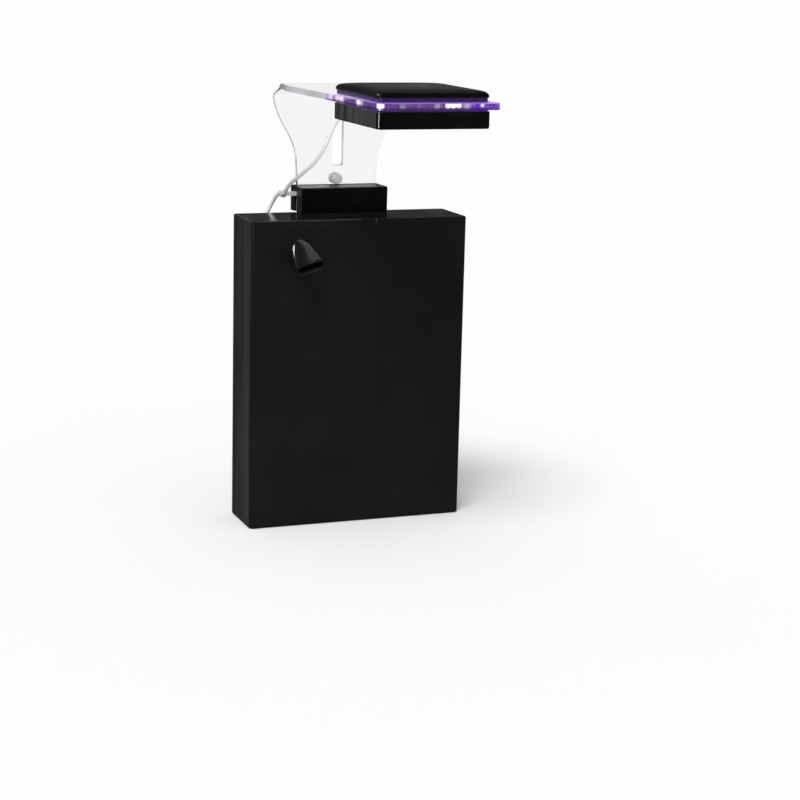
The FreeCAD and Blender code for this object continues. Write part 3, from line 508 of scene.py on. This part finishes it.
def metal(name, colour, roughness, lines):
    """Drawn or turned metal: fine lines, stretched along lines, and faint stains."""
    paint = Finish(name, colour, roughness, Metallic=1.0)
    paint.rounded(0.1 * MM)
    drawn = paint.grain(0.0005, 3.0, lines)
    stain = paint.grain(0.008, 3.0)
    paint.roughness(paint.calc("ADD", paint.between(drawn, 0.3, 0.7, roughness - 0.07, roughness),
                               paint.between(stain, 0.4, 0.8, 0.0, 0.12)))
    darker = tuple(0.72 * c for c in colour)
    paint.colour(paint.blend(paint.between(stain, 0.45, 0.85), colour, darker))
    paint.relief(drawn, 0.008 * MM)
    return paint


def frosted_lens():
    """Frosted window with small prisms."""
    paint = Finish("frosted_lens", (0.9, 0.92, 0.95), 0.42, IOR=1.49, Transmission_Weight=0.8)
    paint.roughness(paint.between(paint.grain(0.01, 3.0), 0.3, 0.7, 0.36, 0.5))
    paint.relief(paint.cells(0.0022), 0.12 * MM)
    paint.relief(paint.grain(0.0005, 2.0), 0.02 * MM)
    return paint


def board():
    """White solder mask with the edges of the tracks under it."""
    paint = Finish("board_white", (0.82, 0.83, 0.82), 0.35, IOR=1.5)
    tracks = paint.add("ShaderNodeTexBrick", {
        "Vector": paint.place, "Color1": (0.84, 0.85, 0.84), "Color2": (0.79, 0.80, 0.79),
        "Mortar": (0.70, 0.72, 0.71), "Scale": 1.0 / 0.012, "Mortar Size": 0.03,
        "Brick Width": 1.0, "Row Height": 1.2})
    paint.colour(tracks)
    mask = paint.grain(0.0012, 3.0)
    paint.roughness(paint.between(mask, 0.3, 0.7, 0.28, 0.42))
    paint.relief(mask, 0.01 * MM)
    return paint


def phosphor():
    """Lit grains under the window of an LED."""
    paint = Finish("led_phosphor", (0.95, 0.85, 0.45), 0.4)
    grains = paint.cells(0.00035)
    paint.colour(paint.blend(grains, (1.0, 0.93, 0.62), (0.90, 0.76, 0.34)))
    paint.glow_colour(paint.blend(grains, (0.80, 0.74, 1.0), (0.62, 0.50, 1.0)))
    paint.shader.inputs["Emission Strength"].default_value = 5.0
    paint.relief(grains, 0.03 * MM)
    return paint


def moulded(name, colour, roughness=0.42):
    """Plain moulded plastic with flow marks, a fine spark texture and scuffed patches."""
    paint = Finish(name, colour, roughness, IOR=1.48)
    paint.rounded(0.3 * MM)
    flow = paint.grain(0.014, 4.0, (1.0, 1.0, 0.5))
    paler = tuple(min(1.0, 1.25 * c + 0.008) for c in colour)
    paint.colour(paint.blend(paint.between(flow, 0.3, 0.75), colour, paler))
    paint.roughness(paint.between(flow, 0.3, 0.7, roughness - 0.05, roughness + 0.08))
    paint.relief(paint.grain(0.0005, 2.0), 0.025 * MM)
    return paint


def stone(name, colour, pit_size, pit_depth, roughness):
    """Sintered or fired material with pits of that size and depth, in metres."""
    paint = Finish(name, colour, roughness)
    pits = paint.cells(pit_size)
    cloud = paint.grain(0.005, 4.0)
    warm = tuple(min(1.0, 1.1 * c) for c in colour)
    dark = tuple(0.72 * c for c in colour)
    sound = paint.blend(cloud, colour, warm)
    # painted shade: the pits are painted darker than the surface round them
    paint.colour(paint.blend(paint.between(pits, 0.05, 0.4), dark, sound))
    paint.roughness(paint.between(cloud, 0.3, 0.7, roughness - 0.08, roughness + 0.05))
    paint.relief(pits, pit_depth)
    paint.relief(paint.grain(0.25 * pit_size, 3.0), 0.4 * pit_depth)
    return paint


def foam():
    """Open cells: holes painted dark between thin struts, a painted shade in the cells."""
    paint = Finish("foam_black", (0.03, 0.03, 0.035), 0.9, Sheen_Weight=0.2)
    cells = paint.cells(0.0021)
    struts = paint.cells(0.0021, "DISTANCE_TO_EDGE")
    shade = paint.between(struts, 0.02, 0.22)
    # painted shade: the holes are painted darker than the struts
    paint.colour(paint.blend(shade, (0.045, 0.045, 0.050), (0.004, 0.004, 0.005)))
    paint.roughness(paint.between(paint.grain(0.01, 3.0), 0.3, 0.7, 0.82, 0.95))
    paint.relief(cells, -0.9 * MM)
    paint.relief(struts, -0.5 * MM)
    return paint


def wadding():
    """Loose fibres that lie mostly level."""
    paint = Finish("floss_white", (0.88, 0.89, 0.9), 0.85, Sheen_Weight=0.4)
    fibres = paint.add("ShaderNodeTexNoise", {
        "Vector": paint.stretched((1.0, 1.0, 3.0)), "Scale": 1.0 / 0.0012, "Detail": 5.0,
        "Roughness": 0.7, "Distortion": 2.5})
    tufts = paint.grain(0.008, 4.0)
    paint.colour(paint.blend(paint.calc("MULTIPLY", fibres, tufts), (0.74, 0.75, 0.77),
                             (0.96, 0.965, 0.97)))
    paint.roughness(paint.between(tufts, 0.3, 0.7, 0.78, 0.92))
    paint.relief(fibres, 0.5 * MM)
    paint.relief(tufts, 0.9 * MM)
    return paint


def pouch():
    """Fine knitted mesh pulled over carbon grains."""
    paint = Finish("pouch_mesh", (0.05, 0.05, 0.055), 0.75, Sheen_Weight=0.3)
    grains = paint.cells(0.0032)
    mesh_holes = paint.cells(0.0009, "DISTANCE_TO_EDGE")
    thread = paint.between(mesh_holes, 0.10, 0.22)
    paint.colour(paint.blend(thread, (0.10, 0.10, 0.108),
                             paint.blend(grains, (0.008, 0.008, 0.008), (0.028, 0.028, 0.03))))
    paint.roughness(paint.between(thread, 0.0, 1.0, 0.82, 0.6))
    paint.relief(grains, -0.8 * MM)
    paint.relief(mesh_holes, -0.12 * MM)
    return paint


def lead_jacket():
    """Milky jacket with faint clouds."""
    paint = Finish("lead_clear", (0.92, 0.92, 0.91), 0.32, IOR=1.5, Transmission_Weight=0.12)
    cloud = paint.grain(0.006, 3.0)
    paint.colour(paint.blend(cloud, (0.88, 0.88, 0.87), (0.97, 0.97, 0.955)))
    paint.roughness(paint.between(cloud, 0.3, 0.7, 0.26, 0.40))
    paint.relief(paint.grain(0.0009, 2.0), 0.02 * MM)
    return paint


def plug_black():
    """Moulded plug with paler scuffs."""
    paint = Finish("plug_black", (0.02, 0.02, 0.02), 0.3, IOR=1.5)
    scuff = paint.grain(0.003, 4.0)
    paint.colour(paint.blend(paint.between(scuff, 0.5, 0.8), (0.015, 0.015, 0.016),
                             (0.045, 0.045, 0.046)))
    paint.roughness(paint.between(scuff, 0.3, 0.7, 0.24, 0.42))
    paint.relief(paint.grain(0.0004, 2.0), 0.015 * MM)
    return paint


def make_finishes():
    finishes = [
        gloss_black(), satin_black(), acrylic(), purple_glow(),
        rubber("black_rubber", (0.008, 0.008, 0.008)),
        rubber("clear_silicone", (0.72, 0.73, 0.75), Transmission_Weight=0.3),
        grey_plastic(), metal("screw_steel", (0.60, 0.60, 0.62), 0.3, (1.0, 1.0, 0.2)),
        frosted_lens(), board(), phosphor(),
        metal("spreader_aluminium", (0.75, 0.76, 0.78), 0.34, (1.0, 0.05, 1.0)),
        moulded("pump_grey", (0.05, 0.055, 0.06)), moulded("basket_grey", (0.09, 0.10, 0.105)),
        moulded("impeller_white", (0.75, 0.76, 0.76), 0.35),
        stone("magnet_dark", (0.06, 0.055, 0.055), 0.0006, 0.02 * MM, 0.5),
        stone("shaft_ceramic", (0.90, 0.90, 0.87), 0.0004, 0.006 * MM, 0.25),
        stone("media_ceramic", (0.82, 0.77, 0.68), 0.0011, 0.25 * MM, 0.9),
        foam(), wadding(), pouch(), lead_jacket(), plug_black(),
    ]
    return {paint.slot: paint.material for paint in finishes}


def paint_all(finishes, pieces):
    """The record names the finish of each CAD node; a piece has the slot it was given."""
    slots = {part["node"]: part["material_slot"] for part in frame["record"]["subparts"]}
    for name, node in frame["nodes"].items():
        node.data.materials.clear()
        node.data.materials.append(finishes[slots[name]])
    for piece in pieces:
        piece.data.materials.clear()
        piece.data.materials.append(finishes[piece["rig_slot"]])


# ---------------------------------------------------------------- rounded pieces
CORNER_STEPS = 8           # steps in each corner of the lamp's cover
STRAP_STEPS = 6            # and of the coil's strap
TURNED_SIDES = 48
NOZZLE_SIDES = 96
PLUG_R = 4.05              # millimetres
PLUG_GRIP = (11.1, 20.9)   # the fluted stretch of the plug, in millimetres along it


def rounded_ring(low, high, inset, corner, z):
    """A level rounded rectangle, inset from the corners low and high of a box."""
    x0, x1 = low.x + inset, high.x - inset
    y0, y1 = low.y + inset, high.y - inset
    middles = [(x1 - corner, y1 - corner), (x0 + corner, y1 - corner),
               (x0 + corner, y0 + corner), (x1 - corner, y0 + corner)]
    ring = []
    for quarter, (cx, cy) in enumerate(middles):
        for step in range(CORNER_STEPS + 1):
            a = math.radians(90 * (quarter + step / CORNER_STEPS))
            ring.append(Vector((cx + corner * math.cos(a), cy + corner * math.sin(a), z)))
    return ring


def turned(profile, start, along, ribs=0, rib_depth=0.0, ribbed=(0.0, 0.0)):
    """Rings about an axis.  The profile lists (distance along the axis, radius) in millimetres."""
    along = Vector(along).normalized()
    side = along.orthogonal().normalized()
    other = along.cross(side)
    rings = []
    for reach, radius in profile:
        ring = []
        for k in range(TURNED_SIDES):
            a = 2 * math.pi * k / TURNED_SIDES
            r = radius
            if ribbed[0] < reach < ribbed[1]:
                r -= rib_depth * (0.5 + 0.5 * math.cos(ribs * a))
            ring.append(start + along * (reach * MM)
                        + (side * math.cos(a) + other * math.sin(a)) * (r * MM))
        rings.append(ring)
    return rings


def make_top_cover():
    """The lamp's pillow-shaped cover, hollow underneath.

    The rows give a ring's inset from the outline and its height, in millimetres.
    """
    crown = [(0, 0), (0, 1.6), (0.3, 2.6), (1.0, 3.6), (2.2, 4.4), (4.0, 4.95), (7, 5.4),
             (11, 5.7), (18, 5.9), (28, 6.0), (40, 6.0)]
    rings = []
    for inset, rise in crown:
        corner = (min(6.5 + 0.9 * inset, 14.0) if inset < 30 else 4.0) * MM
        rings.append(rounded_ring(TOP_LOW, TOP_HIGH, inset * MM, corner, TOP_LOW.z + rise * MM))
    pocket = [(14.8, 0.0), (15.2, 0.4), (15.4, 3.0), (16.4, 3.6), (30, 3.6)]
    below = []
    for inset, rise in pocket:
        below.append(rounded_ring(TOP_LOW, TOP_HIGH, inset * MM, 8.0 * MM, TOP_LOW.z + rise * MM))
    bm = bmesh.new()
    loft(bm, list(reversed(below)) + rings)
    cover = make_object("lamp_cover", bm, sharp_angle=50.0)
    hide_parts("lamp_top_shell")
    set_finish(cover, "black_satin")
    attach(cover, "lamp")
    return cover


def make_clear_arm():
    """The CAD sheet with its edges eased."""
    arm = bpy.data.objects.new("clear_arm", frame["nodes"]["lamp_arm"].data.copy())
    bpy.context.scene.collection.objects.link(arm)
    bm = bmesh.new()
    bm.from_mesh(arm.data)
    bmesh.ops.remove_doubles(bm, verts=bm.verts, dist=0.01 * MM)
    bmesh.ops.dissolve_limit(bm, angle_limit=math.radians(0.5), verts=bm.verts, edges=bm.edges)
    bm.to_mesh(arm.data)
    bm.free()
    arm.data.shade_smooth()
    arm.data.set_sharp_from_angle(angle=math.radians(35))
    ease = arm.modifiers.new("eased edges", "BEVEL")
    ease.width = 0.45 * MM
    ease.segments = 2
    ease.limit_method = "ANGLE"
    ease.angle_limit = math.radians(40)
    ease.harden_normals = True
    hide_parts("lamp_arm")
    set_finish(arm, "clear_acrylic")
    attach(arm, "lamp")
    arm.visible_shadow = False     # Cycles would give clear sheet a dark shadow
    return arm


def pill_ring(place, width, height, groove):
    """An upright ring square to Y, with round ends; groove draws its ribs in."""
    ring = []
    for k in range(NOZZLE_SIDES):
        a = 2 * math.pi * (k + 0.5) / NOZZLE_SIDES
        half = math.copysign(max(width - height, 0) / 2, math.cos(a))
        r = height / 2 - groove * (0.5 + 0.5 * math.cos(k * math.pi / 2))
        ring.append(place + Vector((half + r * math.cos(a), 0, r * math.sin(a))) * MM)
    return ring


def make_nozzle():
    """A round ribbed socket that flattens into a duckbill.

    Each row gives the distance to the front, width, height, drop and groove, in millimetres.
    """
    outer = [(61.3, 18.0, 18.0, 0, 0), (61.7, 19.0, 19.0, 0, 0), (62.6, 19.0, 19.0, 0, 0),
             (62.8, 19.0, 19.0, 0, 0.45), (66.9, 19.0, 19.0, 0, 0.45), (67.1, 19.0, 19.0, 0, 0),
             (69.0, 19.0, 19.0, 0, 0), (70.6, 19.3, 18.6, 0.4, 0), (72.6, 20.2, 17.4, 1.4, 0),
             (75.2, 21.4, 15.8, 2.8, 0), (78.0, 22.5, 14.0, 4.6, 0), (81.5, 23.8, 12.3, 7.1, 0),
             (85.0, 25.0, 10.8, 9.9, 0), (87.6, 25.9, 9.7, 12.0, 0), (88.3, 26.0, 9.5, 12.5, 0),
             (88.5, 25.4, 9.0, 12.6, 0)]
    inner = [(88.5, 23.2, 6.6, 12.6, 0), (88.2, 22.8, 6.3, 12.4, 0), (85.0, 21.8, 7.6, 9.9, 0),
             (81.5, 20.6, 9.1, 7.1, 0), (78.0, 19.3, 10.8, 4.6, 0), (74.0, 17.4, 13.2, 2.0, 0),
             (70.0, 15.3, 15.1, 0.2, 0), (69.5, 15.1, 15.1, 0, 0), (61.3, 15.1, 15.1, 0, 0)]
    rings = []
    for reach, width, height, drop, groove in outer + inner:
        place = Vector((OUT_AXIS[0], -reach, OUT_AXIS[1] - drop)) * MM
        rings.append(pill_ring(place, width, height, groove))
    bm = bmesh.new()
    loft(bm, rings, closed=True)
    middle = Vector((OUT_AXIS[0], 0, OUT_AXIS[1])) * MM
    turn = Matrix.Rotation(math.radians(NOZZLE_ROLL), 4, "Y")
    bm.transform(Matrix.Translation(middle) @ turn @ Matrix.Translation(-middle))
    nozzle = make_object("duckbill", bm)
    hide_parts("outlet_nozzle")
    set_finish(nozzle, "black_gloss")
    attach(nozzle, "nozzle")
    return nozzle


def make_gland():
    """The lead's ribbed strain relief on the lamp."""
    start = Vector((LEAD_ROUTE[0][0] * MM, GLAND_LOW.y, LEAD_ROUTE[0][2] * MM))
    long = (GLAND_HIGH.y - GLAND_LOW.y) / MM
    profile = [(0, 2.6), (0.3, 2.9), (3.9, 2.9), (4.0, 4.3), (4.3, 4.6), (5.6, 4.6), (5.9, 4.3),
               (6.0, 3.8)]
    ring_count = 5
    pitch = (long - 6.6) / ring_count
    for step in range(ring_count):
        at = 6.2 + step * pitch
        r = 3.8 - 0.22 * step
        profile += [(at, r), (at + 0.5 * pitch, r - 0.1), (at + 0.6 * pitch, r - 0.55),
                    (at + 0.95 * pitch, r - 0.6)]
    profile += [(long - 0.3, 2.55), (long, 2.3), (long, 1.8), (0, 1.8)]
    bm = bmesh.new()
    loft(bm, turned(profile, start, (0, 1, 0)), closed=True)
    gland = make_object("strain_relief", bm)
    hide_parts("lead_gland")
    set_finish(gland, "black_rubber")
    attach(gland, "lamp")
    return gland


def make_plug():
    """A low-voltage plug: ribbed boot, fluted grip and hollow barrel."""
    start = Vector(TAIL_ROUTE[-1]) * MM
    start.z = PLUG_LOW.z + PLUG_R * MM
    profile = [(0, 1.8), (0, 2.3), (0.4, 2.5)]
    for step in range(4):
        at = 1.0 + step * 2.0
        r = 2.6 + 0.38 * step
        profile += [(at, r), (at + 1.0, r + 0.15), (at + 1.2, r - 0.35), (at + 1.8, r - 0.25)]
    profile += [(9.0, 3.8)] + [(at, PLUG_R) for at in (9.4, 11.0, 11.2, 20.8, 21.0, 22.4)]
    profile += [(23.0, 3.6), (23.0, 2.75), (32.1, 2.75), (32.5, 2.45), (32.5, 1.15),
                (24.0, 1.15), (24.0, 0.35), (23.9, 0.05)]
    bm = bmesh.new()
    loft(bm, turned(profile, start, (1, 0, 0), ribs=12, rib_depth=0.35, ribbed=PLUG_GRIP))
    plug = make_object("low_voltage_plug", bm)
    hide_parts("lead_plug")
    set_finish(plug, "plug_black")
    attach(plug, "filter")
    return plug


def make_tie():
    """A flat rubber strap round the stored coil, slightly crowned outside."""
    angle = math.radians(COIL_TIE_AT)
    outward = Vector((math.cos(angle), math.sin(angle), 0))
    across = Vector((-outward.y, outward.x, 0))
    middle = Vector((COIL_AT[0], COIL_AT[1], FLOOR / MM)) * MM + outward * (COIL_MID_R * MM)
    half, top, corner, thick, wide, crown = 5.9, 11.2, 2.2, 0.5, 6.0, 0.12
    section = [(-wide / 2, 0), (-wide / 2 + 0.4, thick), (0, thick + crown),
               (wide / 2 - 0.4, thick), (wide / 2, 0), (0, 0)]
    corners = [(half - corner, top - corner), (-half + corner, top - corner),
               (-half + corner, 0.1 + corner), (half - corner, 0.1 + corner)]
    rings = []
    for quarter, (u, w) in enumerate(corners):
        for step in range(STRAP_STEPS + 1):
            a = math.radians(90 * (quarter + step / STRAP_STEPS))
            lean = outward * math.cos(a) + Vector((0, 0, math.sin(a)))
            place = middle + (outward * u + Vector((0, 0, w))) * MM
            rings.append([place + (across * s + lean * (corner - thick + t)) * MM
                          for s, t in section])
    bm = bmesh.new()
    loft(bm, rings, closed=True)
    tie = make_object("coil_strap", bm)
    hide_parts("coil_tie")
    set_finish(tie, "black_rubber")
    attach(tie, "filter")
    return tie


# ---------------------------------------------------------------- filter media
def block_mesh(low, high, cell, corner):
    """A block of even quads about one cell wide, with its edges and corners rounded."""
    bm = bmesh.new()
    counts = [max(2, round((high[i] - low[i]) / cell)) for i in range(3)]
    found = {}

    def vertex(i, j, k):
        key = (i, j, k)
        if key not in found:
            share = (i / counts[0], j / counts[1], k / counts[2])
            place = Vector([low[n] + (high[n] - low[n]) * share[n] for n in range(3)])
            core = Vector([min(max(place[n], low[n] + corner), high[n] - corner)
                           for n in range(3)])
            away = place - core
            if sum(abs(c) > 1e-7 for c in away) > 1:
                place = core + away.normalized() * corner
            found[key] = bm.verts.new(place)
        return found[key]

    for axis in range(3):
        first, second = [n for n in range(3) if n != axis]
        for end in (0, counts[axis]):
            for a in range(counts[first]):
                for b in range(counts[second]):
                    spots = []
                    for da, db in ((0, 0), (1, 0), (1, 1), (0, 1)):
                        key = [0, 0, 0]
                        key[axis], key[first], key[second] = end, a + da, b + db
                        spots.append(vertex(*key))
                    bm.faces.new(spots)
    return bm


def keep_inside(mesh, low, high):
    """Draws every point back to within the corners low and high."""
    for vertex in mesh.vertices:
        for n in range(3):
            vertex.co[n] = min(max(vertex.co[n], low[n]), high[n])


def puffed(name, node, corner, shrink, pressure):
    """A stuffed form from cloth under pressure, kept inside its CAD solid's box.

    It starts smaller than the box by shrink, in millimetres a side.
    """
    low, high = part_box(node)
    start_low = low + Vector(shrink) * MM
    start_high = high - Vector(shrink) * MM
    bm = block_mesh(start_low, start_high, CLOTH_CELL, corner * MM)
    piece = make_object(name, bm, sharp_angle=180.0)
    cloth = piece.modifiers.new("stuffing", "CLOTH").settings
    cloth.use_pressure = True
    cloth.uniform_pressure_force = pressure
    cloth.effector_weights.gravity = 0.0
    cloth.mass = CLOTH_MASS
    cloth.tension_stiffness = CLOTH_STIFFNESS
    cloth.compression_stiffness = CLOTH_STIFFNESS
    cloth.quality = CLOTH_QUALITY
    scene = bpy.context.scene
    for moment in range(1, CLOTH_FRAMES + 1):
        scene.frame_set(moment)
    view = bpy.context.evaluated_depsgraph_get()
    stuffed = bpy.data.meshes.new_from_object(piece.evaluated_get(view))
    piece.modifiers.clear()
    piece.data = stuffed
    scene.frame_set(1)
    keep_inside(piece.data, low, high)
    piece.data.shade_smooth()
    return piece


def dimpled(piece, depth, size, low, high):
    """Moves each point in or out by noise and keeps it inside the box; depth and size in mm."""
    for vertex in piece.data.vertices:
        coarse = noise.noise(vertex.co / (size * MM))
        fine = noise.noise(vertex.co / (0.4 * size * MM))
        push = coarse + 0.5 * fine
        vertex.co += vertex.normal * (push * depth * MM)
    keep_inside(piece.data, low, high)


def make_media():
    sponge_low, sponge_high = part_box("sponge")
    bm = block_mesh(sponge_low, sponge_high, SPONGE_CELL, SPONGE_CORNER)
    sponge = make_object("coarse_sponge", bm, sharp_angle=180.0)
    dimpled(sponge, 0.7, 5.0, sponge_low, sponge_high)
    bag = puffed("carbon_bag", "carbon_pouch", 6.0, (2.0, 2.0, 7.0), 20.0)
    dimpled(bag, 0.5, 6.0, *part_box("carbon_pouch"))
    floss = puffed("floss_wadding", "floss_pad", 4.0, (0.6, 0.6, 4.5), 8.0)
    dimpled(floss, 1.3, 9.0, *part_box("floss_pad"))
    for piece, node, slot, fill in ((sponge, "sponge", "foam_black", 0.9),
                                    (bag, "carbon_pouch", "pouch_mesh", 0.7),
                                    (floss, "floss_pad", "floss_white", 0.4)):
        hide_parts(node)
        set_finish(piece, slot)
        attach(piece, "filter")
    return [sponge, bag, floss]


# ---------------------------------------------------------------- studio
def make_floor():
    bm = bmesh.new()
    corners = [(-FLOOR_REACH, -FLOOR_REACH), (FLOOR_REACH, -FLOOR_REACH),
               (FLOOR_REACH, FLOOR_REACH), (-FLOOR_REACH, FLOOR_REACH)]
    bm.faces.new([bm.verts.new((x, y, FLOOR - 0.05 * MM)) for x, y in corners])
    floor = make_object("floor", bm)
    paint = Finish("studio_floor", (0.90, 0.90, 0.89), 0.8, Specular_IOR_Level=0.0)
    cloud = paint.grain(0.4, 2.0)
    paint.colour(paint.blend(cloud, (0.895, 0.897, 0.893), (0.91, 0.912, 0.908)))
    floor.data.materials.append(paint.material)
    floor.visible_glossy = False
    floor.visible_shadow = False


def make_world():
    """White to the eye and through clear sheet, dim in reflections, soft on the floor."""
    world = bpy.data.worlds.new("studio")
    world.use_nodes = True
    nodes = world.node_tree.nodes
    links = world.node_tree.links
    path = nodes.new("ShaderNodeLightPath")
    backdrop = nodes["Background"]
    backdrop.inputs["Color"].default_value = (1, 1, 1, 1)
    last = None
    for ray, level in (("Is Glossy Ray", WORLD_GLOSS), ("Is Diffuse Ray", WORLD_FILL),
                       ("Is Transmission Ray", 1.0)):
        pick = nodes.new("ShaderNodeMix")
        links.new(path.outputs[ray], pick.inputs[0])
        pick.inputs[2].default_value = 1.0
        if last is not None:
            links.new(last, pick.inputs[2])
        pick.inputs[3].default_value = level
        last = pick.outputs[0]
    links.new(last, backdrop.inputs["Strength"])
    world.cycles.sampling_method = "NONE"    # sampled light would be white for every ray
    bpy.context.scene.world = world


def make_light(name, kind, place, energy, size=None, glossy=True, diffuse=True, soft=0.0):
    data = bpy.data.lights.new(name, kind)
    data.energy = energy
    if kind == "AREA":
        data.shape = "RECTANGLE"
        data.size, data.size_y = size
    else:
        data.angle = math.radians(soft)
    light = bpy.data.objects.new(name, data)
    bpy.context.scene.collection.objects.link(light)
    place = Vector(place)
    look = (Vector(LIGHT_AIM) - place).normalized()
    turn = look.to_track_quat("-Z", "Y").to_matrix().to_4x4()
    light.matrix_world = Matrix.Translation(place) @ turn
    light.visible_camera = False
    light.visible_glossy = glossy
    light.visible_diffuse = diffuse
    light.visible_transmission = False


def make_lights():
    """A soft sun lights the dull faces; the strips show only as reflections."""
    make_light("key", "SUN", KEY_FROM, KEY_SUN, glossy=False, soft=KEY_SOFT)
    for name, place, size, energy in STRIPS:
        make_light(name, "AREA", place, energy, size, diffuse=False)


# ---------------------------------------------------------------- the scene
make_camera()
make_floor()
make_world()
make_lights()

plug = make_plug()
tie = make_tie()
pieces = [make_top_cover(), make_clear_arm(), make_nozzle(), make_gland(), plug, tie]
pieces += make_media()

lead, lead_line = make_lead()
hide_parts("lead_tube", "lead_coil", "lead_tail")
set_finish(lead, "lead_clear")
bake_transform(lead)
pieces.append(lead)

paint_all(make_finishes(), pieces)
scene = bpy.context.scene
scene.view_settings.view_transform = "Standard"
scene.cycles.max_bounces = scene.cycles.glossy_bounces = BOUNCES
scene.cycles.transmission_bounces = BOUNCES
